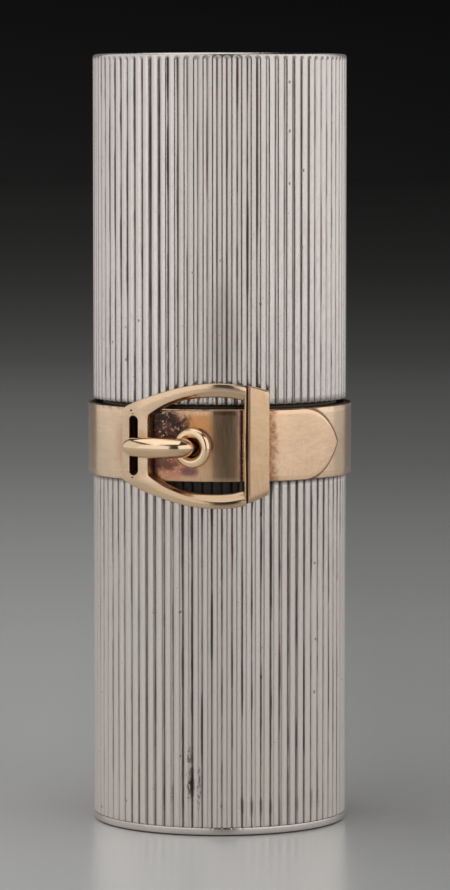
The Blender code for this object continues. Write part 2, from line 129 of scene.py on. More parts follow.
def fillet(points, radii, steps=5):
    """The polyline with its corners rounded. A radius of 0 leaves a corner as it is."""
    found = []
    n = len(points)
    for i, (p, r) in enumerate(zip(points, radii)):
        if r <= 0 or i in (0, n - 1):
            found.append(tuple(p))
            continue
        p = Vector(p)
        a, b = Vector(points[i - 1]) - p, Vector(points[(i + 1) % n]) - p
        la, lb = a.length, b.length
        a.normalize()
        b.normalize()
        half = math.acos(max(-1, min(1, a.dot(b)))) / 2
        reach = min(r / math.tan(half), la * 0.49, lb * 0.49)
        r = reach * math.tan(half)
        centre = p + (a + b).normalized() * (r / math.sin(half))
        start, end = p + a * reach - centre, p + b * reach - centre
        turn = start.angle_signed(end)
        for k in range(steps + 1):
            rot = Matrix.Rotation(-turn * k / steps, 2)
            found.append(tuple(centre + rot @ start))
    return found


def lathe(name, profile, material, body, nodes, n=192, sharp=None):
    """A turned piece. profile is (radius, height); its ends are on the axis, or it closes on itself."""
    verts, rows, faces = [], [], []
    on_axis = profile[0][0] < 1e-6
    for r, z in profile:
        if r < 1e-6:
            rows.append([len(verts)])
            verts.append((0.0, 0.0, z))
        else:
            start = len(verts)
            for j in range(n):
                verts.append(cyl(r, 360.0 * j / n, z))
            rows.append(list(range(start, start + n)))
    pairs = list(zip(rows, rows[1:]))
    if not on_axis:
        pairs.append((rows[-1], rows[0]))
    for a, b in pairs:
        for j in range(n):
            k = (j + 1) % n
            if len(a) == 1 and len(b) == 1:
                continue
            if len(a) == 1:
                faces.append((a[0], b[k], b[j]))
            elif len(b) == 1:
                faces.append((a[j], a[k], b[0]))
            else:
                faces.append((a[j], a[k], b[k], b[j]))
    return build(name, verts, faces, material, body, nodes, sharp)


def resample(line, count):
    """The polyline as count points at even arc length."""
    pts = np.array(line, float)
    seg = np.hypot(*(np.diff(pts, axis=0).T))
    dist = np.concatenate([[0], np.cumsum(seg)])
    want = np.linspace(0, dist[-1], count)
    return np.stack([np.interp(want, dist, pts[:, k]) for k in range(pts.shape[1])], 1)


def spline(points, per_span=8):
    """A Catmull-Rom line through the points, of any number of columns."""
    p = [np.array(q, float) for q in points]
    p = [2 * p[0] - p[1], *p, 2 * p[-1] - p[-2]]
    found = []
    for i in range(1, len(p) - 2):
        a, b, c, d = p[i - 1 : i + 3]
        for k in range(per_span):
            t = k / per_span
            found.append(
                0.5
                * (
                    2 * b
                    + (c - a) * t
                    + (2 * a - 5 * b + 4 * c - d) * t * t
                    + (3 * b - a - 3 * c + d) * t**3
                )
            )
    found.append(p[-2])
    return np.array(found)


# ================================================================ node helpers
class Tree:
    """Small helper for building one material's nodes."""

    def __init__(self, name):
        self.material = bpy.data.materials.new(name)
        self.material.use_nodes = True
        self.tree = self.material.node_tree
        self.tree.nodes.clear()
        self.out = self.add("ShaderNodeOutputMaterial")
        self.shader = self.add("ShaderNodeBsdfPrincipled")
        self.tree.links.new(self.shader.outputs[0], self.out.inputs["Surface"])
        coords = self.add("ShaderNodeTexCoord").outputs["Object"]
        self.p = self.vmath("SCALE", coords, scale=1000.0)  # position in millimetres
        split = self.add("ShaderNodeSeparateXYZ")
        self.link(self.p, split.inputs[0])
        self.x, self.y, self.z = split.outputs
        xx, yy = self.math("MULTIPLY", self.x, self.x), self.math("MULTIPLY", self.y, self.y)
        self.r = self.math("SQRT", self.math("ADD", xx, yy))
        self.phi = self.math(
            "MULTIPLY",
            self.math("ARCTAN2", self.x, self.math("MULTIPLY", self.y, -1.0)),
            180 / math.pi,
        )

    def add(self, kind):
        return self.tree.nodes.new(kind)

    def link(self, value, socket):
        if isinstance(value, (int, float)):
            socket.default_value = value
        elif isinstance(value, tuple):
            socket.default_value = (*value, 1.0) if len(value) == 3 and len(socket.default_value) == 4 else value
        else:
            self.tree.links.new(value, socket)

    def math(self, op, a, b=None, c=None, clamp=False):
        n = self.add("ShaderNodeMath")
        n.operation = op
        n.use_clamp = clamp
        for value, socket in zip((a, b, c), n.inputs):
            if value is not None:
                self.link(value, socket)
        return n.outputs[0]

    def vmath(self, op, a, b=None, scale=None):
        n = self.add("ShaderNodeVectorMath")
        n.operation = op
        self.link(a, n.inputs[0])
        if b is not None:
            self.link(b, n.inputs[1])
        if scale is not None:
            n.inputs["Scale"].default_value = scale
        return n.outputs[0]

    def stretch(self, sx, sy, sz):
        return self.vmath("MULTIPLY", self.p, (sx, sy, sz))

    def noise(self, vector, scale=1.0, detail=4.0, rough=0.55, distortion=0.0):
        n = self.add("ShaderNodeTexNoise")
        self.link(vector, n.inputs["Vector"])
        n.inputs["Scale"].default_value = scale
        n.inputs["Detail"].default_value = detail
        n.inputs["Roughness"].default_value = rough
        n.inputs["Distortion"].default_value = distortion
        return n.outputs["Fac"]

    def spots(self, vector, scale, low, high, chance):
        """Round spots at Voronoi points. Only a share of the points, chance, has one."""
        n = self.add("ShaderNodeTexVoronoi")
        self.link(vector, n.inputs["Vector"])
        n.inputs["Scale"].default_value = scale
        near = self.smooth(n.outputs["Distance"], high, low)
        split = self.add("ShaderNodeSeparateColor")
        self.link(n.outputs["Color"], split.inputs[0])
        picked = self.math("LESS_THAN", split.outputs[0], chance)
        return self.math("MULTIPLY", near, picked)

    def smooth(self, value, start, end):
        """0 before start, 1 after end, smooth between. start may be above end."""
        n = self.add("ShaderNodeMapRange")
        n.interpolation_type = "SMOOTHSTEP"
        flip = start > end
        lo, hi = (end, start) if flip else (start, end)
        self.link(value, n.inputs["Value"])
        n.inputs["From Min"].default_value = lo
        n.inputs["From Max"].default_value = hi
        n.inputs["To Min"].default_value = 1.0 if flip else 0.0
        n.inputs["To Max"].default_value = 0.0 if flip else 1.0
        return n.outputs["Result"]

    def band(self, value, a, b, soft):
        """1 between a and b, falling to 0 over soft on each side."""
        return self.math(
            "MULTIPLY", self.smooth(value, a - soft, a + soft), self.smooth(value, b + soft, b - soft)
        )

    def patch(self, phi, z, r_phi, r_z, soft=0.6, wobble=None, amount=0.6):
        """A soft oval patch round one place on the surface, with a ragged edge."""
        a = self.math("DIVIDE", self.math("SUBTRACT", self.phi, phi), r_phi)
        b = self.math("DIVIDE", self.math("SUBTRACT", self.z, z), r_z)
        d = self.math("SQRT", self.math("ADD", self.math("MULTIPLY", a, a), self.math("MULTIPLY", b, b)))
        if wobble is not None:
            d = self.math("ADD", d, self.math("MULTIPLY", self.math("SUBTRACT", wobble, 0.5), amount * 2))
        return self.smooth(d, 1.0 + soft / 2, 1.0 - soft / 2)

    def mix(self, fac, a, b):
        n = self.add("ShaderNodeMix")
        n.data_type = "RGBA"
        self.link(fac, n.inputs[0])
        self.link(a, n.inputs[6])
        self.link(b, n.inputs[7])
        return n.outputs[2]

    def lerp(self, fac, a, b):
        n = self.add("ShaderNodeMix")
        n.data_type = "FLOAT"
        self.link(fac, n.inputs[0])
        self.link(a, n.inputs[2])
        self.link(b, n.inputs[3])
        return n.outputs[0]

    def bump(self, height, distance_mm, strength=1.0, after=None):
        n = self.add("ShaderNodeBump")
        n.inputs["Strength"].default_value = strength
        n.inputs["Distance"].default_value = distance_mm * MM
        self.link(height, n.inputs["Height"])
        if after is not None:
            self.link(after, n.inputs["Normal"])
        return n.outputs[0]

    def finish(self, colour, roughness, metallic=1.0, normal=None):
        self.link(colour, self.shader.inputs["Base Color"])
        self.link(roughness, self.shader.inputs["Roughness"])
        self.link(metallic, self.shader.inputs["Metallic"])
        if normal is not None:
            self.link(normal, self.shader.inputs["Normal"])
        return self.material


# ================================================================ materials
SILVER_A = (0.93, 0.845, 0.81)
SILVER_B = (0.885, 0.835, 0.79)


def silver(name, which):
    t = Tree(name)
    streak = t.noise(t.stretch(1.0, 1.0, 0.035), 1.9, 3.0, 0.6)
    cloud = t.noise(t.p, 0.11, 4.0, 0.6)
    fine = t.noise(t.stretch(1.0, 1.0, 0.35), 3.1, 5.0, 0.65)
    grain = t.noise(t.p, 9.0, 3.0, 0.6)
    tone = (0.866, 0.874, 0.876) if which == "cap" else (0.848, 0.840, 0.822)
    pale_a = tuple(c * k for c, k in zip(SILVER_A, tone))
    pale_b = tuple(c * k for c, k in zip(SILVER_B, tone))
    colour = t.mix(t.smooth(streak, 0.38, 0.62), pale_a, pale_b)
    colour = t.mix(t.math("MULTIPLY", t.smooth(cloud, 0.50, 0.72), 0.30), colour, (0.74, 0.66, 0.56))
    colour = t.mix(t.math("MULTIPLY", t.smooth(fine, 0.50, 0.80), 0.35), colour, (0.58, 0.53, 0.49))
    # tarnish left at the bottom of the grooves, in lengths that are darker and lighter
    lengths = t.noise(t.stretch(1.3, 1.3, 0.16), 1.0, 4.0, 0.6)
    ragged = t.math("MULTIPLY", t.math("SUBTRACT", fine, 0.5), 0.05)
    depth = t.math("ADD", t.r, ragged)
    wide = t.lerp(t.smooth(lengths, 0.36, 0.66), 9.850, 9.895)
    if which == "cap":
        open_side = t.math("MAXIMUM", t.band(t.phi, -88.0, -22.0, 8.0), t.band(t.phi, 5.0, 19.0, 5.0))
        wide = t.math("ADD", wide, t.math("MULTIPLY", open_side, 0.024))
        # narrower dark grooves from 23 to 47 degrees: painted light
        wide = t.math("SUBTRACT", wide, t.math("MULTIPLY", t.band(t.phi, 23.0, 47.0, 5.0), 0.030))
    else:
        open_side = t.math("MAXIMUM", t.band(t.phi, -20.0, 74.0, 6.0), t.smooth(t.phi, -62.0, -70.0))
        near_belt = t.math("MULTIPLY", t.smooth(t.z, 19.0, 25.5), 0.020)
        wide = t.math("ADD", wide, t.math("ADD", t.math("MULTIPLY", open_side, 0.014), near_belt))
    groove = t.smooth(t.math("SUBTRACT", depth, wide), 0.022, -0.035)
    # only on the upright wall: the end faces and the bore have no grooves
    wall = t.math("MULTIPLY", t.smooth(t.z, 60.43, 60.36), t.smooth(t.z, 0.01, 0.06))
    wall = t.math("MULTIPLY", wall, t.smooth(t.r, 9.55, 9.62))
    groove = t.math("MULTIPLY", groove, wall)
    film = t.math("MULTIPLY", t.math("MULTIPLY", t.smooth(depth, 9.985, 9.86), wall), 0.55)
    colour = t.mix(film, colour, (0.42, 0.365, 0.335))
    dirt = t.mix(t.smooth(lengths, 0.36, 0.62), (0.29, 0.235, 0.205), (0.115, 0.092, 0.083))
    # handling has cleaned the grooves more in some places than in others; on the cap the grooves from 19 to 47
    # degrees are also painted lighter, as painted light
    if which == "cap":
        wear_and_painted_light = t.math("MAXIMUM", t.smooth(t.math("ABSOLUTE", t.math("ADD", t.phi, 6.0)), 20.0, 7.0), t.math("MULTIPLY", t.band(t.phi, 19.0, 47.0, 5.0), 1.25))
        lighter_grooves = t.math("MULTIPLY", wear_and_painted_light, 0.75)
    else:
        lighter_grooves = t.math("MULTIPLY", t.smooth(t.phi, -12.0, -28.0), 0.50)
        low = t.math("MULTIPLY", t.band(t.phi, -8.0, 50.0, 6.0), t.smooth(t.math("ADD", t.z, t.math("MULTIPLY", lengths, 3.0)), 8.6, 7.2))
        lighter_grooves = t.math("MAXIMUM", lighter_grooves, t.math("MULTIPLY", low, 0.55))
    dirt = t.mix(lighter_grooves, dirt, (0.40, 0.325, 0.285))
    rust = t.smooth(t.noise(t.stretch(1.2, 1.2, 0.12), 0.8), 0.52, 0.68)
    dirt = t.mix(t.math("MULTIPLY", rust, 0.75), dirt, (0.20, 0.092, 0.060))
    if which == "cap":
        # painted shade: the cap is darker on the front and towards the right side
        shade_by_angle = t.math("MULTIPLY", t.smooth(t.math("ABSOLUTE", t.math("SUBTRACT", t.phi, 2.0)), 28.0, 12.0), 0.76)
        shade_by_angle = t.math("MAXIMUM", shade_by_angle, t.math("MULTIPLY", t.smooth(t.phi, 12.0, 26.0), t.lerp(t.smooth(t.phi, 100.0, 150.0), 0.42, 0.0)))
        colour = t.mix(t.math("MULTIPLY", shade_by_angle, wall), colour, (0.58, 0.525, 0.485))
        smudge = t.math("MULTIPLY", t.patch(1.5, 38.6, 6.0, 4.2, 1.2, lengths, 0.7), wall)
        colour = t.mix(t.math("MULTIPLY", smudge, 0.45), colour, (0.30, 0.26, 0.235))
    else:
        # painted shade: the base is darker on the front
        shade_by_angle = t.math("MULTIPLY", t.smooth(t.math("ABSOLUTE", t.math("ADD", t.phi, 7.0)), 22.0, 9.0), 0.36)
        colour = t.mix(t.math("MULTIPLY", shade_by_angle, wall), colour, (0.56, 0.52, 0.475))
        disc = t.math("MULTIPLY", t.math("MULTIPLY", t.smooth(t.z, 0.64, 0.54), wall), 0.32)
        colour = t.mix(disc, colour, (0.56, 0.515, 0.475))
        cool = t.patch(-37.0, 17.0, 9.0, 3.0, 1.2, lengths, 0.8)
        colour = t.mix(t.math("MULTIPLY", cool, 0.22), colour, (0.62, 0.70, 0.66))
    colour = t.mix(t.math("MULTIPLY", groove, 0.93), colour, dirt)
    # pits and specks
    specks = t.spots(t.stretch(1.0, 1.0, 0.75), 0.95, 0.05, 0.14, 0.16)
    dots = t.spots(t.p, 2.1, 0.06, 0.15, 0.07)
    dark = t.math("MAXIMUM", t.math("MULTIPLY", specks, 0.60), t.math("MULTIPLY", dots, 0.38))
    if which == "base":
        wobble = t.noise(t.stretch(1.0, 1.0, 0.8), 2.6, 4.0, 0.7)
        speck = t.smooth(t.noise(t.stretch(1.0, 1.0, 0.7), 4.2, 4.0, 0.75), 0.42, 0.54)
        for phi, z, a, b, k in (
            (-12.9, 4.1, 1.55, 1.15, 0.95),
            (-13.6, 6.1, 0.9, 0.8, 0.7),
            (-9.3, 3.8, 0.8, 1.3, 0.8),
            (-26.0, 2.9, 0.6, 1.0, 0.30),
            (-22.0, 3.2, 0.6, 0.7, 0.32),
            (10.1, 2.30, 1.50, 0.62, 0.40),
            (14.2, 2.20, 1.50, 0.62, 0.46),
            (18.8, 2.25, 1.40, 0.60, 0.42),
            (23.3, 2.05, 1.30, 0.50, 0.34),
            (38.0, 2.20, 1.30, 0.50, 0.28),
            (46.2, 2.45, 1.60, 0.80, 0.42),
            (51.0, 2.40, 1.20, 0.60, 0.30),
        ):
            near = t.patch(phi, z, a, b, 0.9, wobble, 0.8)
            deep = t.smooth(t.r, 9.99, 9.88)
            # on the right the dirt is only in the grooves
            hold = t.math("MAXIMUM", t.math("MULTIPLY", deep, 0.74), speck) if phi < 0 else deep
            dark = t.math("MAXIMUM", dark, t.math("MULTIPLY", near, t.math("MULTIPLY", hold, k)))
        # dirt and painted shade gathered under the belt; behind the buckle's lower arm a near-black painted shadow
        under = t.math("MULTIPLY", t.smooth(t.z, BAND_Z0 - 0.50, BAND_Z0 - 0.02), 0.75)
        dark = t.math("MAXIMUM", dark, under)
        lower_arm_shadow = t.math("MULTIPLY", t.band(t.phi, -27.0, 9.8, 1.5), t.smooth(t.z, 25.9, 26.6))
        dark = t.math("MAXIMUM", dark, t.math("MULTIPLY", lower_arm_shadow, 0.985))
        # painted shade along the top edge, in the gap under the cap
        dark = t.math("MAXIMUM", dark, t.math("MULTIPLY", t.smooth(t.z, BASE_Z1 - 0.20, BASE_Z1 - 0.06), 0.90))
        seam = t.band(t.z, BASE_Z0 - 0.045, BASE_Z0 + 0.015, 0.02)
        dark = t.math("MAXIMUM", dark, t.math("MULTIPLY", seam, t.lerp(t.smooth(fine, 0.38, 0.60), 0.12, 0.50)))
        # painted contact shadow along the edge that the foot stands on
        dark = t.math("MAXIMUM", dark, t.math("MULTIPLY", t.smooth(t.z, 0.12, 0.03), 0.85))
    if which == "cap":
        # painted shade along the cap's lower edge, over the gap above the belt, taller on the right
        lip_shade = t.math("MULTIPLY", t.smooth(t.z, CAP_Z0 + 0.32, CAP_Z0 + 0.05), 0.62)
        right_lip_shade = t.math("MULTIPLY", t.smooth(t.z, CAP_Z0 + 0.55, CAP_Z0 + 0.10), t.smooth(t.phi, 20.0, 28.0))
        lip_shade = t.math("MAXIMUM", lip_shade, t.math("MULTIPLY", right_lip_shade, 0.64))
        lip_shade = t.math("MULTIPLY", lip_shade, t.lerp(t.smooth(fine, 0.35, 0.6), 0.55, 1.0))
        dark = t.math("MAXIMUM", dark, lip_shade)
    colour = t.mix(dark, colour, (0.036, 0.029, 0.027))
    rough = t.lerp(t.smooth(fine, 0.35, 0.75), 0.155, 0.27)
    rough = t.math("ADD", rough, t.math("MULTIPLY", t.math("MAXIMUM", groove, dark), 0.30))
    metal = t.lerp(t.math("MAXIMUM", groove, dark), 1.0, 0.85)
    bump = t.bump(grain, 0.012, 0.22)
    bump = t.bump(streak, 0.03, 0.25, bump)
    bump = t.bump(dark, -0.03, 0.5, bump)
    return t.finish(colour, rough, metal, bump)


GOLD = (0.935, 0.70, 0.49)


def gold(name, which):
    t = Tree(name)
    cloud = t.noise(t.p, 0.45, 4.0, 0.6)
    fine = t.noise(t.p, 5.0, 4.0, 0.65)
    along = t.noise(t.stretch(0.35, 0.35, 6.0), 1.5, 4.0, 0.7)
    across = t.noise(t.stretch(7.0, 7.0, 0.55), 1.2, 4.0, 0.7)
    scratch = across if which in ("strap", "keeper") else along
    pale = {
        "band": (0.935, 0.700, 0.500),
        "strap": (0.950, 0.670, 0.455),
        "keeper": (0.800, 0.552, 0.346),
        "frame": (0.860, 0.632, 0.436),
    }.get(which, (0.960, 0.715, 0.480))
    colour = t.mix(t.smooth(cloud, 0.35, 0.70), pale, tuple(c * k for c, k in zip(pale, (0.965, 0.94, 0.90))))
    colour = t.mix(t.math("MULTIPLY", t.smooth(scratch, 0.50, 0.75), 0.14), colour, (0.80, 0.60, 0.42))
    roughen_mask = None
    smooth_low, smooth_high = {"pin": (0.10, 0.17), "ring": (0.09, 0.16), "strap": (0.12, 0.20), "band": (0.15, 0.24)}.get(which, (0.12, 0.21))
    rough = t.lerp(t.smooth(scratch, 0.3, 0.75), smooth_low, smooth_high)
    ragged = t.noise(t.p, 1.5, 5.0, 0.7, 0.6)
    specky = t.noise(t.p, 3.4, 5.0, 0.8)
    if which == "strap":
        window = t.smooth(t.phi, 11.0, 8.5)
        streaks = t.noise(t.stretch(9.0, 9.0, 0.35), 1.0, 4.0, 0.75)
        # brown film over the whole window
        colour = t.mix(t.math("MULTIPLY", window, 0.74), colour, (0.60, 0.375, 0.215))
        colour = t.mix(t.math("MULTIPLY", t.math("MULTIPLY", window, t.smooth(streaks, 0.48, 0.66)), 0.30), colour, (0.34, 0.22, 0.13))
        # orange heat halo round the eyelet, strongest above it and to the right
        halo = t.patch(EYELET_PHI - 1.0, PIN_Z + 0.2, 12.0, 2.3, 0.7, ragged, 0.55)
        colour = t.mix(t.math("MULTIPLY", halo, 0.50), colour, (0.50, 0.235, 0.10))
        amber = t.patch(-8.6, 31.95, 6.0, 0.85, 0.9, ragged, 0.6)
        colour = t.mix(t.math("MULTIPLY", amber, 0.58), colour, (0.70, 0.285, 0.07))
        copper = t.patch(-20.5, 28.75, 10.0, 1.00, 0.8, ragged, 0.65)
        colour = t.mix(t.math("MULTIPLY", copper, 0.85), colour, (0.55, 0.225, 0.145))
        below = t.patch(-13.0, 28.35, 3.6, 0.36, 0.9, ragged, 0.7)
        colour = t.mix(t.math("MULTIPLY", below, 0.75), colour, (0.13, 0.07, 0.085))
        # dark blue-brown scale in the upper left, with copper showing through
        scale = t.patch(-22.5, 31.75, 9.8, 1.5, 0.5, ragged, 0.80)
        left = t.patch(-28.0, 29.3, 3.2, 2.6, 0.6, ragged, 0.7)
        foot = t.patch(-23.0, 28.9, 5.5, 0.5, 0.7, specky, 1.1)
        scale = t.math("MAXIMUM", scale, t.math("MULTIPLY", left, 0.85))
        scale = t.math("MAXIMUM", scale, t.math("MULTIPLY", foot, 0.75))
        scale = t.math("MULTIPLY", scale, t.lerp(t.smooth(specky, 0.56, 0.63), 1.0, 0.15))
        tint = t.mix(t.smooth(ragged, 0.42, 0.60), (0.022, 0.020, 0.028), (0.125, 0.050, 0.038))
        colour = t.mix(t.math("MULTIPLY", scale, 0.96), colour, tint)
        flecks = t.spots(t.p, 3.4, 0.12, 0.30, 0.50)
        flecks = t.math("MULTIPLY", flecks, t.patch(-24.5, 31.0, 5.0, 1.0, 0.7, ragged, 0.4))
        flakes = t.math("MULTIPLY", t.spots(t.p, 4.2, 0.12, 0.32, 0.4), t.patch(-20.0, 28.7, 8.0, 0.8, 0.7, ragged, 0.4))
        flecks = t.math("MAXIMUM", flecks, t.math("MULTIPLY", flakes, 0.8))
        colour = t.mix(t.math("MULTIPLY", flecks, 0.85), colour, (0.80, 0.62, 0.50))
        # a purple crescent beside the eyelet
        a = t.math("MULTIPLY", t.math("SUBTRACT", t.phi, EYELET_PHI), 0.187)
        c = t.math("SUBTRACT", t.z, PIN_Z)
        away = t.math("SQRT", t.math("ADD", t.math("MULTIPLY", a, a), t.math("MULTIPLY", c, c)))
        crescent = t.math("MULTIPLY", t.band(away, 1.40, 1.60, 0.12), t.math("MULTIPLY", t.smooth(a, 0.55, 1.0), t.smooth(c, -0.6, 0.1)))
        colour = t.mix(t.math("MULTIPLY", crescent, 0.85), colour, (0.055, 0.028, 0.085))
        # the olive-grey stripe: a painted reflection of a dark band, with real upright brush marks in it
        reflected_band = t.math("ADD", t.phi, t.math("MULTIPLY", t.math("SUBTRACT", streaks, 0.5), 0.8))
        reflected_band = t.math("MULTIPLY", t.smooth(reflected_band, -2.6, -2.2), t.smooth(reflected_band, 9.0, 6.0))
        grey = t.mix(t.smooth(streaks, 0.40, 0.62), (0.34, 0.255, 0.17), (0.17, 0.125, 0.085))
        colour = t.mix(t.math("MULTIPLY", reflected_band, 0.20), colour, grey)
        purple = t.band(t.math("ADD", t.phi, t.math("MULTIPLY", ragged, 1.2)), 8.9, 10.9, 0.55)
        colour = t.mix(t.math("MULTIPLY", purple, 0.92), colour, (0.070, 0.020, 0.035))
        # shadowed metal inside the eyelet and under the frame's slot
        inside = t.smooth(away, 1.22, 1.02)
        colour = t.mix(t.math("MULTIPLY", inside, 0.95), colour, (0.028, 0.014, 0.008))
        slot = t.smooth(t.phi, -31.8, -32.6)
        colour = t.mix(t.math("MULTIPLY", slot, 0.97), colour, (0.016, 0.009, 0.006))
        # stain that ran out past the keeper
        right = t.math("ADD", t.phi, t.math("MULTIPLY", t.math("SUBTRACT", ragged, 0.5), 7.0))
        run = t.math("MULTIPLY", t.smooth(right, 25.6, 21.8), t.smooth(t.phi, 17.0, 18.0))
        run = t.math("MULTIPLY", run, t.lerp(t.smooth(specky, 0.35, 0.60), 0.55, 1.0))
        colour = t.mix(t.math("MULTIPLY", run, 0.90), colour, (0.34, 0.115, 0.045))
        roughen_mask = t.math("MAXIMUM", scale, t.math("MULTIPLY", copper, 0.6))
    if which in ("strap", "band"):
        # distance past the strap's outline near its pointed end, square to the outline
        half = (STRAP_Z1 - STRAP_Z0) / 2
        rise = t.math("ABSOLUTE", t.math("SUBTRACT", t.z, (STRAP_Z0 + STRAP_Z1) / 2))
        share = t.math("MINIMUM", t.math("DIVIDE", rise, half), 1.0)
        q = t.math("MAXIMUM", t.math("POWER", share, 1 / 0.85), 0.0004)
        u = t.math("SQRT", t.math("SUBTRACT", 1.0, t.math("MINIMUM", q, 1.0)))
        edge_phi = t.math("ADD", t.math("MULTIPLY", u, 21.0), 38.0)
        steep = t.math("MULTIPLY", t.math("DIVIDE", u, t.math("POWER", q, 0.15)), 1.7 * half / (21.0 * 0.185))
        sharp = t.math("SQRT", t.math("ADD", t.math("MULTIPLY", steep, steep), 1.0))
        square = t.math("DIVIDE", steep, sharp)
        dx = t.math("MULTIPLY", t.math("SUBTRACT", t.phi, edge_phi), 0.185)
        out = t.math("MULTIPLY", dx, square)
        on = t.smooth(t.phi, 37.0, 41.0)
    if which == "strap":
        # painted shade on the strap's rounded rim along its pointed end
        rim_shade = t.math("MULTIPLY", t.math("MULTIPLY", t.smooth(out, -0.10, -0.035), on), 0.75)
        colour = t.mix(rim_shade, colour, (0.16, 0.075, 0.045))
    if which == "band":
        wander = t.math("ADD", t.phi, t.math("MULTIPLY", t.math("SUBTRACT", ragged, 0.5), 6.0))
        left = t.math("MULTIPLY", t.smooth(wander, -54.0, -46.0), t.patch(-46.0, 30.3, 7.5, 1.7, 1.2, ragged, 0.5))
        colour = t.mix(t.math("MULTIPLY", left, 0.50), colour, (0.60, 0.30, 0.15))
        # painted shadow on the band under the frame's slot
        slot_shadow = t.math("MULTIPLY", t.band(t.phi, -38.6, -31.0, 0.5), 0.97)
        colour = t.mix(slot_shadow, colour, (0.016, 0.009, 0.006))
        # tarnish along the top and bottom edges; painted shade towards the sides of the case makes it heavier there
        side = t.smooth(t.math("ABSOLUTE", t.phi), 66.0, 74.0)
        edge = t.math("MAXIMUM", t.smooth(t.z, BAND_Z1 - 0.45, BAND_Z1 - 0.02), t.smooth(t.z, BAND_Z0 + 0.40, BAND_Z0 + 0.02))
        edge = t.math("MULTIPLY", edge, t.smooth(t.math("ADD", ragged, t.math("MULTIPLY", side, 0.3)), 0.50, 0.72))
        colour = t.mix(t.math("MULTIPLY", edge, 0.70), colour, (0.16, 0.095, 0.07))
        # painted shade over the whole band towards the sides of the case
        colour = t.mix(t.math("MULTIPLY", side, 0.35), colour, (0.42, 0.32, 0.25))
        # the painted shadow line along the strap's pointed end, and a brown tinge past it
        # the shadow starts past the part of the band that the step hides from the front, so it is wider where the
        # outline runs upright
        lee = t.math("MULTIPLY", t.math("TANGENT", t.math("MULTIPLY", edge_phi, math.pi / 180)), 0.31)
        beyond = t.math("MULTIPLY", t.math("SUBTRACT", dx, lee), square)
        edge_shadow = t.math("MULTIPLY", t.smooth(beyond, 0.20, 0.06), on)
        colour = t.mix(t.math("MULTIPLY", edge_shadow, 0.90), colour, (0.16, 0.065, 0.035))
        tinge = t.math("MULTIPLY", t.math("MULTIPLY", t.smooth(beyond, 0.9, 0.1), on), t.smooth(ragged, 0.42, 0.66))
        colour = t.mix(t.math("MULTIPLY", tinge, 0.40), colour, (0.62, 0.40, 0.27))
        roughen_mask = edge
    if which in ("frame", "keeper"):
        pits = t.math(
            "MAXIMUM",
            t.patch(-36.0, 33.03, 0.50, 0.095, 0.5),
            t.math("MAXIMUM", t.patch(-35.2, 32.78, 0.35, 0.06, 0.6), t.patch(-35.5, 27.86, 0.55, 0.06, 0.6)),
        )
        # painted shade where the metal lies low, in the slot and on the inner walls, ragged
        low = t.math("MULTIPLY", t.smooth(t.r, 11.32, 11.05), t.smooth(ragged, 0.25, 0.50))
        low = t.math("MULTIPLY", low, t.lerp(t.smooth(t.phi, 8.6, 9.4), 1.0, 1.0 if which == "keeper" else 0.35))
        colour = t.mix(t.math("MULTIPLY", low, 0.90), colour, (0.085, 0.045, 0.028))
        # brown painted shade on the bevel inside the frame
        if which == "frame":
            inner_bevel_shade = t.math("MULTIPLY", t.smooth(t.r, 11.565, 11.50), 0.45)
            colour = t.mix(inner_bevel_shade, colour, (0.52, 0.345, 0.205))
            # painted shade on the lower arm
            lower = t.math("MULTIPLY", t.smooth(t.z, 27.9, 27.2), 0.80)
            colour = t.mix(lower, colour, (0.62, 0.44, 0.28))
            shade = t.smooth(t.phi, 10.15, 10.35)
        else:
            shade = t.smooth(t.phi, 11.0, 10.8)
        colour = t.mix(t.math("MULTIPLY", shade, 0.85), colour, (0.075, 0.040, 0.025))
        near_pin = t.math("MULTIPLY", t.patch(-31.0, 30.9, 2.0, 0.65, 0.9, ragged, 0.8), 0.5)
        colour = t.mix(near_pin, colour, (0.60, 0.33, 0.14))
        colour = t.mix(t.math("MULTIPLY", pits, 0.9), colour, (0.10, 0.05, 0.03))
        # the pits and the painted shade low down are also rougher
        roughen_mask = t.math("MAXIMUM", pits, low)
    if which == "pin":
        # painted shade on the tongue's lower half
        under = t.math("MULTIPLY", t.smooth(t.z, PIN_Z + 0.10, PIN_Z - 0.30), 0.62)
        colour = t.mix(under, colour, (0.66, 0.455, 0.27))
        root = t.smooth(t.r, 12.10, 11.45)
        colour = t.mix(t.math("MULTIPLY", t.math("MULTIPLY", root, t.smooth(t.phi, -17.0, -12.5)), 0.8), colour, (0.55, 0.27, 0.09))
        roughen_mask = None
    if which == "ring":
        a = t.math("MULTIPLY", t.math("SUBTRACT", t.phi, EYELET_PHI), 0.19)
        c = t.math("SUBTRACT", t.z, PIN_Z)
        away = t.math("SQRT", t.math("ADD", t.math("MULTIPLY", a, a), t.math("MULTIPLY", c, c)))
        # painted shade inside the ring's hole and on its inner side
        hole_shade = t.math("MAXIMUM", t.smooth(t.r, 10.98, 10.84), t.math("MULTIPLY", t.smooth(away, 0.87, 0.74), 0.8))
        colour = t.mix(t.math("MULTIPLY", hole_shade, 0.90), colour, (0.060, 0.028, 0.014))
    pin_pricks = t.spots(t.p, 1.3, 0.03, 0.09, 0.20)
    colour = t.mix(t.math("MULTIPLY", pin_pricks, 0.6), colour, (0.24, 0.14, 0.09))
    metal = 1.0
    if roughen_mask is not None:
        rough = t.math("ADD", rough, t.math("MULTIPLY", roughen_mask, 0.22))
    height = t.math("ADD", t.math("MULTIPLY", scratch, 0.7), t.math("MULTIPLY", fine, 0.5))
    bump = t.bump(height, 0.006, 0.12 if which in ("pin", "ring") else 0.30)
    bump = t.bump(cloud, 0.05, 0.10 if which in ("pin", "ring") else 0.18, bump)
    return t.finish(colour, rough, metal, bump)


